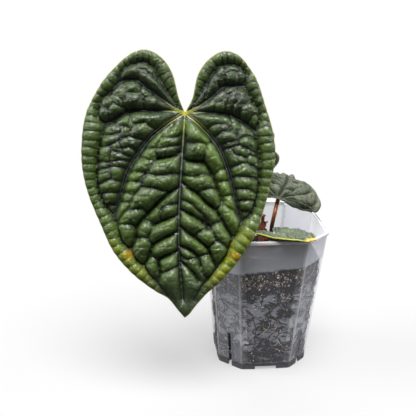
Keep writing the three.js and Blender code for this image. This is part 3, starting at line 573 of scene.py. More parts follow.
MAIN_VEINS = [
    [0.7, 0, 0, -14, -1.1, -36, -2.4, -62, -2.9, -84, -2.2, -110, -0.6, -127, 1, -144],
    [0.7, 0, -8.6, 4.3, -19.3, 12.1, -28.6, 18.9, -36.4, 23.9, -45, 23.8, -50, 21, -54, 17.2],
    [0.7, 0, -10, 0.9, -26, 1.1, -41, 0.4, -48, -3, -55, -7.9, -60.2, -9.6],
    [0.7, 0, -8.6, -5.7, -20, -14.3, -27.9, -22.1, -33.6, -30.7, -39.3, -39.3, -43.5, -48.6,
        -46.7, -60.1, -49.5, -70, -52, -79.6],
    [-1.1, -29.5, -5.7, -31.8, -12, -33.8, -19.3, -35],
    [-2.4, -56.2, -9.6, -59.8, -16, -65.5, -26, -75.9, -34.6, -86.6, -35.3, -94.4, -39.2, -104],
    [-2.9, -77.2, -11, -80.1, -21.7, -84.8],
    [-2.8, -90, -11.7, -93.7, -22.4, -100.9, -25, -108, -29.2, -116.9],
    [-2.3, -104.4, -10, -107.4, -17.5, -112, -16.8, -122, -19, -129.6],
    [0.7, 0, 7.3, 2.9, 16.6, 8.6, 24.4, 15.7, 30.9, 20.4, 38, 21.1, 45.3, 20.6],
    [0.7, 0, 15.9, 0.4, 28.7, -0.4, 38, -2.5, 46, -7, 55.1, -13.6],
    [0.7, 0, 10.1, -7.1, 22.3, -19.6, 28.2, -28.5, 33.4, -40.7, 38.1, -55.9, 42.1, -71.6,
        45.3, -82.4],
    [-0.9, -35.2, 8.7, -36.8, 15.4, -37.3, 20.9, -44.3, 23, -48.5, 26.7, -58, 30.1, -68],
    [-2, -52, 5.3, -57.3, 10.3, -60.1, 17.4, -67.3, 24.8, -73, 31, -82.3, 38.7, -95],
    [-2.7, -72.6, 6.7, -76.9, 15.3, -82.3, 20.6, -86.9],
    [-2.9, -85.2, 3.9, -90.1, 14.6, -98, 19.5, -102.3, 22.1, -108, 26.7, -117.6],
    [-2.5, -100.7, 6, -103.7, 12.4, -109.4, 14.2, -116],
    [-2.2, -112.4, 5.3, -118, 10, -123, 13.1, -128],
]
CROSS_VEINS = [
    [-43.5, -1, -44.3, 4.3, -46.4, 7.9, -49.3, 11.1, -52.9, 12.9, -57.5, 13.2],
    [-27.1, -21.4, -34.3, -20.4, -42, -19.5, -51.4, -23.6, -57, -26.2, -63.8, -26.4],
    [-36.4, -35.4, -45.7, -31.4, -53.6, -29.3, -56, -26.4],
    [-41.1, -43.2, -50, -41.8, -57, -42.8, -65.4, -44.6],
    [-45.3, -53.4, -54.6, -51.2, -61.7, -54.2, -65.3, -54.8],
    [-47.1, -60.9, -56.7, -61.2, -62.8, -63.4],
    [-49.8, -70.6, -54.5, -70, -59, -71.4],
    [-7, -8.5, -13, -15.5, -19.3, -24.3, -21.2, -29, -19.3, -35, -22.9, -39.3, -27, -46.4,
        -29.6, -50.1, -30.8, -56, -36.7, -63.2, -39.9, -71.6, -44.6, -77.3, -50, -84.5],
    [-21, -28, -26, -27.5, -31.5, -27.6],
    [-21, -36.6, -28, -35.7, -35, -33.3],
    [-27, -46, -33, -45, -41.8, -45.5],
    [-31, -53, -38, -52.4, -44.8, -53],
    [-46.9, -61, -41.7, -60.9, -36.9, -63.2],
    [-48.8, -67, -43, -68.2, -39, -68],
    [-9.6, -59.8, -14.6, -59.2, -20, -57.2, -26, -57, -30.8, -56.5],
    [-26, -75.9, -30.5, -72.5, -36, -73.2, -40.5, -74],
    [-34.6, -86.6, -41, -84.4, -45, -85, -50.3, -84.8],
    [-21.7, -84.8, -25.5, -82.4, -30.3, -81],
    [-21.7, -84.8, -23.6, -89, -25.4, -94.8, -22.4, -100.9],
    [-25.4, -94.8, -31, -94.6, -35.3, -95],
    [-17.5, -112, -20.5, -110, -25.2, -108.5],
    [-2.1, -115.6, -8, -118.5, -13.1, -120.9, -16.9, -121.5],
    [-0.5, -16, -8, -19.5, -15.5, -19],
    [-1, -24, -8, -25.5, -14, -26.5, -21, -28],
    [-1.8, -46, -10, -46.5, -18, -47.5, -27, -46.4],
    [-2.6, -68.5, -9, -69.5, -15.5, -72, -16.5, -77, -16.8, -82.4],
    [-41.2, 0.2, -39, -7.5, -37.5, -10.5, -39, -13.5, -40.5, -19.6],
    [-14.3, -10, -21.4, -13, -25.5, -10.5, -30, -8.3, -37.5, -10.5],
    [-53, -6.6, -49.5, -11.8, -47, -14.5, -47.9, -21.6],
    [-49.5, -11.8, -45, -11, -39, -13.5],
    [-62, -17, -56, -18, -51, -17, -47.3, -16],
    [-53.6, -29.3, -55, -34, -54.6, -42.4],
    [-65.2, -37.5, -55, -38, -46, -36.5, -38.4, -38],
    [-47.3, -22, -46, -31.3],
    [-45.9, -28, -40, -26.8, -34, -31.2],
    [-55.5, -42.6, -53.8, -47, -54.2, -51.2],
    [-46.2, 23.6, -45.7, 18, -44.5, 14.5, -44, 9, -46, 7.4],
    [-44.5, 14.5, -38, 13.2, -33, 14.5, -32, 21],
    [-33, 14.5, -30.5, 10, -30, 4, -29.5, 1.1],
    [-30.5, 10, -24.5, 11.5, -22, 14],
    [-37, 36.6, -35, 30, -34.6, 22.9],
    [-35, 30.5, -31, 31.5, -27, 28.5, -22, 24, -17.5, 22.8],
    [-57.5, 13, -53.5, 7.5, -55, 4, -57, 0, -56.5, -5, -58.6, -9],
    [-64.6, 3, -60, 3, -55.8, 2],
    [-53.5, 7.5, -49, 4, -44.2, 3],
    [30.5, 36.8, 31, 28.5, 30.2, 20],
    [31, 29, 36, 31, 40.2, 29.5, 41, 21],
    [40.2, 29.5, 43.2, 34],
    [23.2, 32.8, 24.5, 27, 26.5, 17.3],
    [18.5, 25.4, 17.5, 19, 14.5, 7.6],
    [20.6, 12.5, 22.3, 7.5, 23, 0.2],
    [22.3, 7.5, 28, 8.6, 30, 13.5, 30.5, 20],
    [30, 13.5, 35, 14.5, 38.5, 17, 41.5, 20.8],
    [35, 14.5, 32.5, 8, 31, 3, 31, -0.8],
    [38.5, 17, 39.5, 10, 36, 3, 37.5, -2.3],
    [43, -5, 42, 0, 43.5, 5, 47, 8, 53, 8.6],
    [57.6, -1.5, 52, -1, 49.5, -5, 48.5, -8.8],
    [17, -14.4, 20.5, -9.8, 28, -8.5, 33, -9.8, 35, -13.8],
    [21.9, -18.9, 29.4, -14.5, 35, -13.8, 39, -17, 40.8, -21.5, 40.9, -24.3],
    [35, -13.8, 36.5, -8.5, 34.5, -1.8],
    [39, -17, 43, -12, 41.5, -4.4],
    [40.8, -20.5, 47.3, -17.3, 52, -18.8, 56.3, -20],
    [28.4, -28.2, 32.3, -27.1, 40.9, -24.3, 44.4, -25.4, 52.3, -28.6, 57.6, -30],
    [26.3, -25.5, 33, -22, 40.8, -20.8],
    [36.8, -26, 38, -30.5, 46.5, -33.5, 48, -37.6],
    [46.5, -33.5, 50, -31.5, 57.9, -33],
    [33.7, -41.4, 40.1, -39.3, 45.5, -37.6, 50.9, -39.3, 58.4, -43.6],
    [36.3, -49, 40.9, -47.5, 48, -47.9, 58.2, -49.8],
    [38.4, -57.3, 47.4, -56.9, 52, -58.7, 57.2, -60.1],
    [40.6, -66.2, 51.7, -65.5, 55.7, -66.9],
    [42.8, -74.4, 50.3, -74.1, 52.7, -75.4],
    [22.3, -20.5, 18, -25, 16.4, -29, 15.6, -33.5, 15.4, -37.3],
    [30.1, -68, 33.1, -70.9, 37.4, -73, 42, -77, 45, -81],
    [23, -47, 27.5, -43, 33.6, -41],
    [25, -53, 30, -51.5, 36.6, -51],
    [28.6, -63.2, 34.5, -62.2, 39.6, -62],
    [30.1, -68, 27.5, -70.8, 25, -73],
    [10.3, -60.1, 15, -57.8, 20, -56.8, 26.4, -57.2],
    [-1.8, -46.5, 8, -48, 16, -46.5, 22, -46.8],
    [-0.4, -22, 6, -23.5, 12, -22.5, 17.8, -25],
    [-2.5, -65.2, 5.5, -68, 13, -74.5, 18.5, -80.5, 20.6, -86.9],
    [20.6, -86.9, 23.5, -83.8, 27, -82.2, 30.7, -82],
    [20.6, -86.9, 24, -91, 25.4, -95.5, 22.7, -98.8, 19.5, -102.3],
    [25.4, -95.5, 30, -98.2, 35.2, -103],
    [11, -95.3, 10.6, -91, 14.6, -88.7, 20.6, -86.9],
    [12.4, -109.4, 16, -107.6, 21.6, -106.4],
    [-2.3, -107.5, 4, -110.6, 12.4, -109.4],
    [14.2, -116, 16.5, -122, 19.5, -126.5],
]
GRID_STEP = 0.5
GRID_U, GRID_V = np.arange(-82, 76, GRID_STEP), np.arange(-162, 53, GRID_STEP)
LINE_STEP = 0.8
PLEAT_WIDTH = 6.3


def curve_through(flat):
    """Points about a step apart on the smooth curve through u, v pairs."""
    knots = np.array(flat, float).reshape(-1, 2)
    ends = np.vstack([2 * knots[0] - knots[1], knots, 2 * knots[-1] - knots[-2]])
    points = []
    for a, b, c, d in zip(ends, ends[1:], ends[2:], ends[3:]):
        pairs = ((a, b), (b, c), (c, d))
        times = np.cumsum([0] + [np.hypot(*(q - p)) ** 0.5 for p, q in pairs])
        count = max(1, round(np.hypot(*(c - b)) / LINE_STEP))
        t = np.linspace(times[1], times[2], count, endpoint=False)[:, None]

        def between(p, q, low, high):
            return p * (times[high] - t) / (times[high] - times[low]) + \
                q * (t - times[low]) / (times[high] - times[low])

        ab, bc, cd = (between(p, q, start, start + 1) for start, (p, q) in enumerate(pairs))
        points.append(between(between(ab, bc, 0, 2), between(bc, cd, 1, 3), 1, 2))
    return np.vstack(points + [knots[-1:]])


def off_segment(u, v, a, b):
    """How far places lie from the nearest point of a segment, across and along."""
    way = b - a
    u, v = u - a[0], v - a[1]
    share = np.clip((u * way[0] + v * way[1]) / max(way @ way, 1e-9), 0, 1)
    return u - share * way[0], v - share * way[1]


def distance_field(lines, reach):
    """How far each place of the grid lies from the nearest line, up to a reach."""
    field = np.full((len(GRID_V), len(GRID_U)), float(reach))
    for line in lines:
        for a, b in zip(line, line[1:]):
            low, high = np.minimum(a, b) - reach, np.maximum(a, b) + reach
            cols = slice(*np.searchsorted(GRID_U, (low[0], high[0])))
            rows = slice(*np.searchsorted(GRID_V, (low[1], high[1])))
            gap = np.hypot(*off_segment(GRID_U[None, cols], GRID_V[rows, None], a, b))
            field[rows, cols] = np.minimum(field[rows, cols], gap)
    return field


def inside_loop(loop, u, v):
    """Which places lie inside a closed line."""
    inside = np.zeros(np.broadcast(u, v).shape, bool)
    for a, b in zip(loop, np.roll(loop, -1, axis=0)):
        crosses = (a[1] > v) != (b[1] > v)
        with np.errstate(divide="ignore", invalid="ignore"):
            side = u < a[0] + (b[0] - a[0]) * (v - a[1]) / (b[1] - a[1])
        inside ^= crosses & side
    return inside


def bulge(walls, rounds, soft):
    """The dome of a skin that is held down at its walls."""
    skin = np.zeros(walls.shape)
    for _ in range(rounds):
        skin[1:-1, 1:-1] = 0.25 * (skin[2:, 1:-1] + skin[:-2, 1:-1] + skin[1:-1, 2:] + skin[1:-1, :-2]
                                   + GRID_STEP ** 2)
        skin[walls] = 0
    return np.sqrt(2 * skin + soft ** 2) - soft


left_edge, right_edge = (curve_through(MARGIN[side]) for side in ("left", "right"))
outline = np.vstack([left_edge, right_edge[-2:0:-1]])
closed_outline = np.vstack([outline, outline[:1]])
mains, crosses = ([curve_through(line) for line in veins] for veins in (MAIN_VEINS, CROSS_VEINS))
collectives = [curve_through(COLLECTIVE[side]) for side in ("left", "right")]
rungs = []
for edge, inner in ((left_edge, collectives[0]), (right_edge, collectives[1])):
    length = np.hypot(*np.diff(edge, axis=0).T).sum()
    pleats = round(length / PLEAT_WIDTH)
    steps = np.linspace(0, len(edge) - 1, pleats * 2 + 1)[3:-2:2]
    steps += np.random.default_rng(pleats).uniform(-1, 1, len(steps)) * 2.2
    outs = edge[steps.round().astype(int)]
    roots = np.array([np.hypot(*(inner - out).T).argmin() for out in outs], float)
    for _ in range(8):
        roots[1:-1] = (roots[:-2] + 2 * roots[1:-1] + roots[2:]) / 4
    for out, root in zip(outs, inner[roots.round().astype(int)]):
        rungs.append(np.array([root, out + 0.6 * (out - root)]))
rays = [line for line, flat in zip(mains, MAIN_VEINS) if flat[1] == 0]
single_lines, double_lines = rays[:3] + rays[4:6], [rays[3], rays[6]]
outline_gap = distance_field([closed_outline], 16)
ray_gap = distance_field(rays, 12)
main_gap = distance_field(mains + collectives, 12)
cross_gap = distance_field(crosses, 12)
rung_gap = distance_field(rungs, 6)
outside = ~inside_loop(outline, GRID_U[None, :], GRID_V[:, None])
beyond, far_beyond = (outside & (outline_gap > far) for far in (1.5, 6))
thin = GRID_STEP * 0.75
held = main_gap < thin
wide_dome = bulge(beyond | held, 700, 5.5)
held = np.minimum(main_gap, cross_gap) < thin
cell_dome = bulge(beyond | held, 420, 2.2)
fine_dome = bulge(far_beyond | held | (rung_gap < thin), 260, 1.8)
heart_loop = np.vstack([collectives[0], collectives[1][::-1]])


def crack_field(spacing, seed):
    """Facets between the finest veins: the gap to the facet's border, and its own tilt."""
    places = np.random.default_rng(seed)
    size, left, low = (170, 226), -84, -166
    columns, rows = (round(length / spacing) for length in size)
    seeds = np.meshgrid(np.arange(columns) * spacing + left, np.arange(rows) * spacing + low)
    seeds = np.stack(seeds, -1)
    seeds = seeds + places.uniform(-0.42, 0.42, seeds.shape) * spacing
    nearest = np.full((len(GRID_V), len(GRID_U)), 99.0)
    second, tilt = nearest.copy(), nearest * 0
    slopes = places.uniform(-0.16, 0.16, (columns * rows, 2)) * 5.6 / spacing
    reach = 2.2 * spacing
    for (u, v), slope in zip(seeds.reshape(-1, 2), slopes):
        cols = slice(*np.searchsorted(GRID_U, (u - reach, u + reach)))
        high = slice(*np.searchsorted(GRID_V, (v - reach, v + reach)))
        off_u, off_v = GRID_U[None, cols] - u, GRID_V[high, None] - v
        gap = np.hypot(off_u, off_v)
        one, two = nearest[high, cols], second[high, cols]
        tilt[high, cols] = np.where(gap < one, slope[0] * off_u + slope[1] * off_v, tilt[high, cols])
        second[high, cols] = np.minimum(two, np.maximum(one, gap))
        nearest[high, cols] = np.minimum(one, gap)
    return np.minimum(second - nearest, 8), tilt


cracks = {"fine": crack_field(6.8, 4), "coarse": crack_field(15, 9)}


def sample(field, u, v):
    """A field's value at any places of the drawing."""
    col = np.clip((u - GRID_U[0]) / GRID_STEP, 0, len(GRID_U) - 1.001)
    row = np.clip((v - GRID_V[0]) / GRID_STEP, 0, len(GRID_V) - 1.001)
    left, low = col.astype(int), row.astype(int)
    across, up = col - left, row - low
    return ((field[low, left] * (1 - across) + field[low, left + 1] * across) * (1 - up)
            + (field[low + 1, left] * (1 - across) + field[low + 1, left + 1] * across) * up)


def signed_gap(lines, u, v):
    """The distance to the nearest line, below nought on one of its sides."""
    best = np.full(len(u), 30.0)
    for line in lines:
        for a, b in zip(line, line[1:]):
            off_u, off_v = off_segment(u, v, a, b)
            gap = np.copysign(np.hypot(off_u, off_v), (b - a)[0] * off_v - (b - a)[1] * off_u)
            best = np.where(np.abs(gap) < np.abs(best), gap, best)
    return best


def blade_frame(leaf):
    """The way back along the midrib, the way the face looks, and the way across."""
    back = -Vector(leaf["tipward"]).normalized()
    face = Vector(leaf["face"])
    face = (face - back * face.dot(back)).normalized()
    return back, face, back.cross(face)


def cut_blade(name, spacing):
    """A flat grid cut to the outline, its border moved onto it."""
    size, middle = (160, 216), (-3, -55, 0)
    columns, rows = (round(length / spacing) for length in size)
    bpy.ops.mesh.primitive_grid_add(x_subdivisions=columns, y_subdivisions=rows, size=1)
    blade = bpy.context.object
    blade.scale = (*size, 1)
    blade.location = middle
    settle(name)
    mesh = bmesh.new()
    mesh.from_mesh(blade.data)
    middles = np.array([face.calc_center_median()[:2] for face in mesh.faces])
    keep = inside_loop(outline, middles[:, 0], middles[:, 1])
    cut_off = [face for face, stays in zip(mesh.faces, keep) if not stays]
    bmesh.ops.delete(mesh, geom=cut_off, context="FACES")
    starts, ways = closed_outline[:-1], np.diff(closed_outline, axis=0)
    for corner in mesh.verts:
        if corner.is_boundary:
            offset = np.array(corner.co[:2]) - starts
            share = np.clip((offset * ways).sum(1) / (ways ** 2).sum(1), 0, 1)[:, None]
            nearest = starts + share * ways
            corner.co[:2] = nearest[np.hypot(*(nearest - np.array(corner.co[:2])).T).argmin()]
    by_border = [corner for corner in mesh.verts if not corner.is_boundary
                 and any(edge.other_vert(corner).is_boundary for edge in corner.link_edges)]
    bmesh.ops.smooth_vert(mesh, verts=by_border, factor=0.5, use_axis_x=True, use_axis_y=True)
    mesh.to_mesh(blade.data)
    mesh.free()
    return blade


def bend_blade(leaf, u, v, lift):
    """Where the drawing's places lie on the bent leaf, each raised from it by a lift."""
    across = (u * leaf["scale"] * leaf["width"])[:, None]
    along = (v * leaf["scale"] * np.where(v > 0, leaf["lobe"], 1))[:, None]
    back, face, side = (np.array(part) for part in blade_frame(leaf))
    arch, droop = np.where(u < 0, *leaf["arch"])[:, None], leaf["droop"]
    turn_along, turn_across = along * droop, across * arch
    normal = np.cos(turn_along) * face + np.sin(turn_along) * back
    place = (np.array(leaf["attach"]) + np.sin(turn_along) / droop * back
             - (1 - np.cos(turn_along)) / droop * face
             + np.sin(turn_across) / arch * side - (1 - np.cos(turn_across)) / arch * normal)
    return place + lift[:, None] * (np.cos(turn_across) * normal + np.sin(turn_across) * side)


def make_blade(leaf, skin, spacing, relief):
    """A blade, raised between its veins, bent, and thickened."""
    blade = cut_blade(leaf["name"], spacing)
    u, v = np.array([corner.co[:2] for corner in blade.data.vertices]).T
    main, cross, rung, ray, edge, crack, tilt, wide, cell, fine = (
        sample(field, u, v) for field in (main_gap, cross_gap, rung_gap, ray_gap, outline_gap,
                                          *cracks[leaf["facets"]], wide_dome, cell_dome, fine_dome))
    collar = np.abs(signed_gap(collectives, u, v))
    collar = np.where(inside_loop(heart_loop, u, v), -collar, collar)
    outer_band = np.clip(collar / 1.5, 0, 1)
    by_sinus = np.clip(v / 10, 0, 1) * np.clip((34 - np.abs(u)) / 14, 0, 1)
    by_petiole = np.exp(-(np.hypot(u, v) / 9) ** 2)
    by_tip = np.clip((-v - 122) / 24, 0, 1)
    faceted = np.clip((ray - 1.5) / 5, 0.1, 1) * (1 - 0.75 * outer_band)
    facets = faceted * (1 - np.exp(-crack / leaf["ease"]) + 1.1 * tilt * np.clip(cross / 2, 0, 1))
    pleats = (1 - outer_band * (0.1 + 0.6 * by_sinus)) * fine
    wide_rise, cell_rise, pleat_rise, facet_rise = relief
    domes = wide_rise * wide + cell_rise * cell + pleat_rise * pleats + facet_rise * facets
    lift = (1 - by_petiole) * (1 - 0.5 * by_tip) * domes * leaf["scale"] ** 0.75 - leaf["sink"]
    place = bend_blade(leaf, u, v, lift) * MM
    blade.data.vertices.foreach_set("co", place.astype(np.float32).ravel())
    marks = {"main": main, "ray": ray, "line": signed_gap(single_lines, u, v),
             "double": signed_gap(double_lines, u, v), "cross": np.minimum(main, cross), "rung": rung,
             "margin": edge, "across": u, "along": v, "collar": collar,
             "crack": crack * faceted + 4 * (1 - faceted), "crown": fine}
    for mark, values in marks.items():
        layer = blade.data.attributes.new(mark, "FLOAT", "POINT")
        layer.data.foreach_set("value", values.astype(np.float32))
    finish_with(blade, "SOLIDIFY", thickness=leaf["thickness"] * MM, offset=-1)
    blade.data.shade_smooth()
    blade.data.materials.append(skin.material)
    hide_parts(leaf["name"].replace("leaf", "blade"))
    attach(blade, "root")


class LeafSkin(Skin):
    """A leaf's skin, with painted shade: dark in its grooves, lighter on its bulges, slate beside its
    veins.
    """

    def __init__(self, name, gloss, shine, deep, mid, light, valley_shade):
        super().__init__(name, Roughness=gloss, IOR=1.45, Specular_IOR_Level=shine)
        net = self.add("TexVoronoi", {"Vector": self.where, "Scale": 420}, feature="DISTANCE_TO_EDGE")
        crease = self.mark("crack").ramp(0.65, 0.1)
        self.bump(self.noise(800, 3) * 0.8 + net.ramp(0, 0.12) * 0.35 + crease * -0.45, 0.9, 0.5 * MM)
        self.colour = self.mix(self.noise(60, 3).ramp(0.35, 0.65), mid, light)
        # Painted shade: the deep colour fills the grooves, where the fine domes are low, leaving their
        # crowns lighter.
        self.colour = self.mix(self.mark("crown").ramp(0, 1.1, 0.25, 1), deep, self.colour)
        # Painted shade along the cracks, in the sunken valleys beside the rays, and along the cross veins,
        # main veins and rungs.
        self.coat(crease * 0.75, deep)
        self.coat(self.mark("ray").ramp(4.5, 0.8, 0, 0.8), valley_shade)
        self.coat(self.mark("cross").ramp(0.9, 0.2, 0, 0.55), deep)
        self.coat(self.mark("main").ramp(1.5, 0.4, 0, 0.7), deep)
        self.coat(self.mark("rung").ramp(0.5, 0.1, 0, 0.5), deep)

    @functools.cache
    def mark(self, name):
        """One of the blade's own marks."""
        return self.add("Attribute", {}, "Fac", attribute_name=name)

    def gap_to(self, u, v, across):
        """How far a place of the drawing lies from a point."""
        place = self.add("CombineXYZ", {0: across, 1: self.mark("along")})
        return self.add("VectorMath", {0: place, 1: (u, v, 0)}, "Value", operation="DISTANCE")

    def rim(self, colour):
        """The thin paler margin."""
        self.coat(self.mark("margin").ramp(1, 0.3, 0, 0.8), colour)

    def underside(self, face, colour):
        """Another colour where the surface looks away from the face."""
        normal = self.add("NewGeometry", {}, "Normal")
        outward = self.add("VectorMath", {0: normal, 1: face}, "Value", operation="DOT_PRODUCT")
        self.coat(outward.ramp(0, -0.2), colour)


LARGE_LEAF = {
    "name": "leaf_large", "slot": "leaf_green", "attach": (-73.06, -40, 223.66),
    "tipward": (-0.0265, -0.301, -0.9533), "face": (-0.0835, -0.9496, 0.3021),
    "scale": 1.012, "width": 1, "lobe": 1, "droop": 1 / 1500, "arch": (1 / 600, 1 / 600),
    "thickness": 0.7, "sink": 5.4, "facets": "fine", "ease": 0.9,
}
# Its deep and valley colours are the painted shade of the grooves.
glossy = LeafSkin("leaf_deep_green", 0.27, 0.7, "030501", "20310c", "3a4e1b", "141c16")
along, across, cross, ray, rung, line, double = (
    glossy.mark(name) for name in ("along", "across", "cross", "ray", "rung", "line", "double"))
# A bright strip beside the lobes' double veins, then painted shade over the upper blade and painted light
# low down, most at the right.
inner = double * across.sign()
strip = inner.ramp(-2.5, -5) * inner.ramp(-13, -8.5)
glossy.coat(strip * across.ramp(-30, 20, 0.2, 0.38), "5f7a26")
open_skin = cross.ramp(0.8, 2.2)
glossy.coat(along.ramp(-25, 12, 0, 0.4) * open_skin, "142209")
glossy.coat(along.ramp(-15, -65, 0, 0.42) * open_skin * across.ramp(-40, 20, 0.5, 1), "52662c")
# The pleated outer band, which ripens to yellow low at the left and right.
band = glossy.mark("collar").ramp(0.1, 1.2)
glossy.coat(band * 0.42 * rung.ramp(0.3, 1.2), "4e6426")
low_left = along.ramp(-84, -112) * across.ramp(-8, -20, 0, 0.72)
low_right = along.ramp(-76, -108) * across.ramp(6, 16)
ripe = (low_left + low_right) * band * along.ramp(-142, -134)
patchy = glossy.patches(70, 3, 0.3, 0.7)
glossy.coat(ripe * rung.ramp(0.1, 1, 0.45, 0.9), glossy.mix(patchy, "4a6009", "868a0e"))
spot = glossy.gap_to(40.5, -108, abs(across)).ramp(5, 0.5, 0, 0.85)
glossy.coat(spot * (patchy * 0.4 + 0.6), "b5820c")
# The tip, and the pale lines along the midrib and the main veins, brightest near the petiole.
glossy.coat(along.ramp(-112, -142) * 0.8, "283222")
glossy.coat(along.ramp(-153.5, -156), "4a2a12")
midrib = abs(across).ramp(18, 4, 0.16, 1) * along.ramp(-120, -10, 0.1, 0.75)
single = abs(line).ramp(0.75, 0.25) * midrib
paired = abs(abs(double) - 0.9).ramp(0.5, 0.15) * along.ramp(-75, -15, 0.15, 0.8)
from_middle = glossy.gap_to(0.7, 0, across)
line_colour = glossy.mix(from_middle.ramp(32, 9), "707a70", "9aa23e")
glossy.coat(single.highest(paired) * ray.ramp(1.6, 1.2), line_colour)
glossy.rim("8a8a26")
glossy.coat(from_middle.ramp(3.2, 1.2), "a8a22c")
glossy.underside(LARGE_LEAF["face"], glossy.mix(cross.ramp(1.4, 0.4), "5a6e3c", "8c9a5c"))
glossy.shade(Base_Color=glossy.colour)
make_blade(LARGE_LEAF, glossy, 0.78, (1.3, 0.5, 0.6, 0.8))


# The small blades: duller grey-green leaves of the same plan, one arched away behind at the
# right, one over the rim at the front, and one behind the large blade.
# Its deep and valley colours are the painted shade of the grooves.
dull = LeafSkin("leaf_grey_green", 0.44, 0.55, "0d1109", "414935", "555d47", "20261b")
dull.rim("8b8a3c")
dull.underside((-0.1, -0.6, 0.75), "6a7350")
dull.shade(Base_Color=dull.colour)
# Its deep and valley colours are the painted shade of the grooves.
yellow_edged = LeafSkin("leaf_grey_green_yellow_edge", 0.5, 0.5, "343e2c", "4c5641", "606a53", "545f4a")
plain, along = yellow_edged.colour, yellow_edged.mark("along")
yellow_edged.coat(yellow_edged.mark("margin").ramp(4.5, 1, 0, 0.85), "b4b630")
yellow_edged.colour = yellow_edged.mix(yellow_edged.mark("across").ramp(8, -6), plain, yellow_edged.colour)
yellow_edged.coat(along.ramp(-128, -142), "d8b84a")
yellow_edged.coat(along.ramp(-150, -154), "8a4420")
yellow_edged.shade(Base_Color=yellow_edged.colour)
SMALL = {"slot": "leaf_grey_green", "thickness": 0.6, "facets": "coarse", "ease": 3.0}
RIGHT_LEAF = {
    "name": "leaf_right", "attach": (12.4, 0.5, 142.8),
    "tipward": (0.3842, 0.8401, 0.3828), "face": (0.0838, -0.4447, 0.8918),
    "scale": 0.322, "width": 1.471, "lobe": 0.356, "droop": 1 / 89, "arch": (1 / 150, 1 / 62),
    "sink": 3.0, **SMALL,
}
FRONT_LEAF = {
    "name": "leaf_front", "attach": (5.8, -23.6, 119.85),
    "tipward": (0.6134, -0.7872, 0.0631), "face": (-0.0168, 0.118, 0.9929),
    "scale": 0.266, "width": 1.234, "lobe": 0.824, "droop": -1 / 310, "arch": (-1 / 94, 1 / 294),
    "sink": 2.0, **SMALL,
}
REAR_LEAF = {
    "name": "leaf_rear", "attach": (-0.3, 20, 179.6),
    "tipward": (-0.9, 0.2, -0.3), "face": (-0.356, -0.729, 0.585),
    "scale": 0.27, "width": 1.3, "lobe": 1, "droop": 1 / 90, "arch": (1 / 70, 1 / 70),
    "sink": 2.9, **SMALL,
}
make_blade(RIGHT_LEAF, dull, 1.4, (2.8, 0.6, 0.3, 1.2))
make_blade(REAR_LEAF, dull, 1.4, (2.0, 0.5, 0.3, 1.5))
make_blade(FRONT_LEAF, yellow_edged, 1.4, (1.6, 0.4, 0.2, 1.0))


# Crumbs of the mix, dark bits of bark and peat, that have fallen on the front leaf and stuck
# to the inside of the wall.
crumbs = []
for x, y in ((10, -13), (14, -11), (19, -14.5), (27, -16), (31, -20), (2, -20), (23, -30)):
    from_above = Vector((x, y, 200)) * MM
    met, spot, facing, _ = bpy.data.objects["leaf_front"].ray_cast(from_above, Vector((0, 0, -1)))
    if met:
        spot = spot / MM + facing * 0.4
        crumbs.append((x % 4, place_at(spot, facing, dice.uniform(0, 6), dice.uniform(1, 2.2))))
for turn, height, size in ((75, 103, 2.4), (58, 108, 1.3), (100, 111, 1.2), (30, 104, 1.6), (12, 112, 1.2),
                           (-80, 112, 1.1), (-68, 106, 0.8), (140, 105, 1.5)):
    spot, facing = wall_place(height, math.radians(turn))
    crumbs.append((turn % 4, place_at(spot - facing * 0.3, facing, dice.uniform(0, 6), size)))
scatter("crumbs", bark_models, crumbs, bark)


# The petioles: round, fleshy stalks from the top of the stem to behind each blade, with a
# thicker knee just below it. The one of the right leaf is dark below and orange-brown above, painted
# lighter up high as painted light where it is lit.
STALK_FOOT = 101.0


def make_petiole(leaf, radius, foot, bends, skin):
    """A smooth tube along its route, thicker at its foot and at its knee."""
    tipward, face = Vector(leaf["tipward"]).normalized(), Vector(leaf["face"]).normalized()
    end = Vector(leaf["attach"]) + tipward * radius - face * (leaf["sink"] + 0.5 * leaf["thickness"])
    route = [(*foot, STALK_FOOT), (*foot, STALK_FOOT + 0.8 + radius), *bends, end - face * 4 * radius, end]
    bpy.ops.curve.primitive_bezier_curve_add()
    stalk = bpy.context.object
    points = stalk.data.splines[0].bezier_points
    points.add(len(route) - 2)
    lengths = np.cumsum([0] + [(Vector(two) - Vector(one)).length for one, two in zip(route, route[1:])])
    for point, spot, share in zip(points, route, (lengths / lengths[-1]).tolist()):
        point.co = Vector(spot) * MM
        point.handle_left_type = point.handle_right_type = "AUTO"
        knee, flare = 0.35 * math.exp(-((share - 0.94) / 0.05) ** 2), 0.2 * math.exp(-share / 0.08)
        point.radius = 1 + knee + flare
    stalk.data.dimensions = "3D"
    stalk.data.bevel_depth = radius * MM
    stalk.data.bevel_resolution = 5
    stalk.data.resolution_u = 14
    stalk.data.use_fill_caps = True
    bpy.ops.object.convert(target="MESH")
    stalk = settle(leaf["name"].replace("leaf", "stalk"))
    stalk.data.materials.append(skin.material)
    stalk.data.shade_smooth()
    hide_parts(leaf["name"].replace("leaf", "petiole"))
    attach(stalk, "root")


def stalk_skin(name, low, high, from_height, to_height):
    """A stalk's skin, which changes colour with height, with faint specks."""
    skin = Skin(name, Roughness=0.38, IOR=1.45)
    specks = skin.patches(420, 3, 0.4, 0.7)
    skin.colour = skin.mix(skin.axes[2].ramp(from_height, to_height), low, high)
    skin.coat(specks, skin.mix(0.35, skin.colour, (0.01, 0.006, 0.002, 1)))
    skin.shade(Base_Color=skin.colour)
    skin.bump(specks, 0.2, 0.2 * MM)
    return skin


green = stalk_skin("petiole_green", "3d4a1d", "6d7a35", 0.11, 0.21)
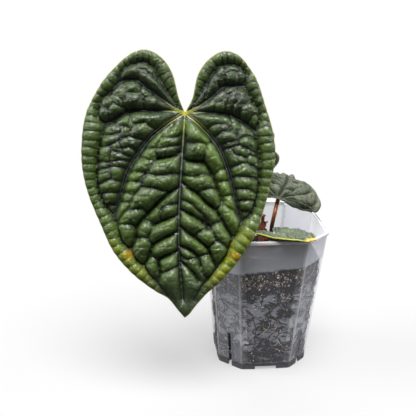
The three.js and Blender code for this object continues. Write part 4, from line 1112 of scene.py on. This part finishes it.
# Painted light: the brown stalks are painted lighter up high, where they are lit.
brown = stalk_skin("petiole_brown", "2a1605", "824812", 0.112, 0.134)
make_petiole(LARGE_LEAF, 2.6, (0.6, 0.6), ((-5, 3, 118), (-20, 6, 150), (-43, 2, 186), (-62, -12, 209)),
             green)
make_petiole(RIGHT_LEAF, 1.75, (7.2, 1), ((7.2, 0.8, 112), (9.3, 0.9, 127)), brown)
make_petiole(FRONT_LEAF, 1.4, (4.6, -4.6), ((5, -9, 104.5),), brown)
make_petiole(REAR_LEAF, 1.3, (4.8, 4.8), ((-3, 12, 114), (-20, 20, 132), (-20, 29, 152), (-8, 33, 168)),
             brown)


# The stem with its thick roots: a short upright stem, ringed by old leaf scars, whose roots
# go down into the mix. Its CAD solid is rounded.
stem = copy_of("stem_and_roots", "stem_rounded")
bpy.ops.object.mode_set(mode="OBJECT")
bpy.ops.object.select_all(action="DESELECT")
finish_with(stem, "SUBSURF", levels=2, render_levels=2)
stem.data.shade_smooth()
woody = stalk_skin("stem_and_root_skin", "a58e6b", "5b5534", 0.07, 0.098)
stem.data.materials.append(woody.material)
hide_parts("stem_and_roots")
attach(stem, "root")


# The dry sheaths: papery rust-brown leaf sheaths that curl round the stem, each torn along
# its edge and drawn out to a point.
SHEATH_FOOT, STEM_MIDDLE = 96, 4
STEM_RADIUS, SHEATH_GAP = 7.85, 0.35
paper = Skin("dry_papery_sheath", Roughness=0.75)
lengthwise = paper.add("Mapping", {"Vector": paper.where, "Scale": (900, 900, 60)})
fibres = paper.noise(1, 3, Vector=lengthwise)
paper.shade(Base_Color=paper.mix(fibres.ramp(0.35, 0.65), "4c2416", "8a422a"))
paper.bump(fibres, 0.5, 0.3 * MM)


def make_sheath(name, height, first_turn, last_turn, point_turn):
    """A sheet mapped round the stem, ragged at its edge, with a paper's thickness."""
    bpy.ops.mesh.primitive_grid_add(x_subdivisions=18, y_subdivisions=36, size=1)
    sheath = bpy.context.object
    for corner in sheath.data.vertices:
        across, share = corner.co.x + 0.5, corner.co.y + 0.5
        narrow = share ** 2.6
        ragged = 9 * (math.sin(share * 31) * 0.5 + math.sin(share * 67 + 2) * 0.35) * (0.3 + share)
        first = first_turn + (point_turn - 2 - first_turn) * narrow
        last = last_turn - ragged + (point_turn + 4 - last_turn) * narrow
        turn = math.radians(first + (last - first) * across)
        crinkle = 0.35 * math.sin(across * 17 + share * 5) + 0.25 * math.sin(share * 23)
        radius = STEM_RADIUS + SHEATH_GAP + 1.2 * (share - 0.4) + crinkle * (0.4 + share)
        corner.co = Vector((STEM_MIDDLE + radius * math.cos(turn), radius * math.sin(turn),
                            SHEATH_FOOT + share * height)) * MM
    settle(name)
    finish_with(sheath, "SOLIDIFY", thickness=0.35 * MM, offset=0)
    sheath.data.shade_smooth()
    sheath.data.materials.append(paper.material)
    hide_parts(name.replace("sheath", "cataphyll"))
    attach(sheath, "root")


make_sheath("sheath_tall", 33, 190, 258, 229)
make_sheath("sheath_short", 15, 298, 345, 302)


# The stage for the picture: a white floor that reaches to the horizon, one soft light from
# above, three weaker ones from the sides and behind, and the camera a little above the rim.
bpy.ops.mesh.primitive_plane_add(size=60, location=(0, 0, -0.0002))
floor = settle("floor")
white = Skin("white_sweep", Roughness=1.0, Specular_IOR_Level=0, Emission_Strength=1)
seen = white.add("LightPath", {}, "Is Camera Ray")
white.shade(Base_Color=white.mix(seen, (0.04, 0.04, 0.04, 1), (0.18, 0.18, 0.18, 1)),
            Emission_Color=white.mix(seen, (0, 0, 0, 1), (0.475, 0.475, 0.475, 1)))
floor.data.materials.append(white.material)
world = bpy.data.worlds.new("studio")
bpy.context.scene.world = world
world.use_nodes = True
air = Nodes(world.node_tree)
bounced, backdrop = 0.08, 1.0
strength = air.add("LightPath", {}, "Is Camera Ray") * (backdrop - bounced) + bounced
air.feed(world.node_tree.nodes["Background"], {"Color": (1, 1, 1, 1), "Strength": strength})


def soft_sun(name, azimuth, elevation, spread, strength):
    """A broad soft light from far away; azimuth from the camera's side, towards the right."""
    bpy.ops.object.light_add(type="SUN")
    sun = bpy.context.object
    sun.name = name
    sun.data.angle = math.radians(spread)
    sun.data.energy = strength
    across, upward = math.radians(azimuth), math.radians(elevation)
    level = math.cos(upward)
    towards = Vector((math.sin(across) * level, -math.cos(across) * level, math.sin(upward)))
    sun.rotation_euler = towards.to_track_quat("Z", "Y").to_euler()
    sun.select_set(False)


soft_sun("light_above", 2, 72, 40, 6.3)
soft_sun("light_right", 88, 12, 40, 2.1)
soft_sun("light_left", -95, 30, 40, 2.8)
soft_sun("light_behind", 172, 30, 60, 2.2)
YAW, PITCH, ROLL = math.radians(7.1), math.radians(18.8), math.radians(1.4)
forward = Vector((math.sin(YAW) * math.cos(PITCH), math.cos(YAW) * math.cos(PITCH), -math.sin(PITCH)))
right = Vector((math.cos(YAW), -math.sin(YAW), 0))
up = right.cross(forward)
tilted = right * math.cos(ROLL) + up * math.sin(ROLL)
upright = up * math.cos(ROLL) - right * math.sin(ROLL)
bpy.ops.object.camera_add(location=(-0.129, -0.650, 0.356))
camera = bpy.context.object
camera.rotation_euler = Matrix((tilted, upright, -forward)).transposed().to_euler()
PHOTO_WIDTH, FOCAL_PIXELS = 416, 824
camera.data.sensor_width = 36
camera.data.lens = camera.data.sensor_width * FOCAL_PIXELS / PHOTO_WIDTH
camera.data.clip_end = 50
bpy.context.scene.camera = camera
bpy.context.scene.view_settings.view_transform = "Standard"
bpy.ops.object.select_all(action="DESELECT")
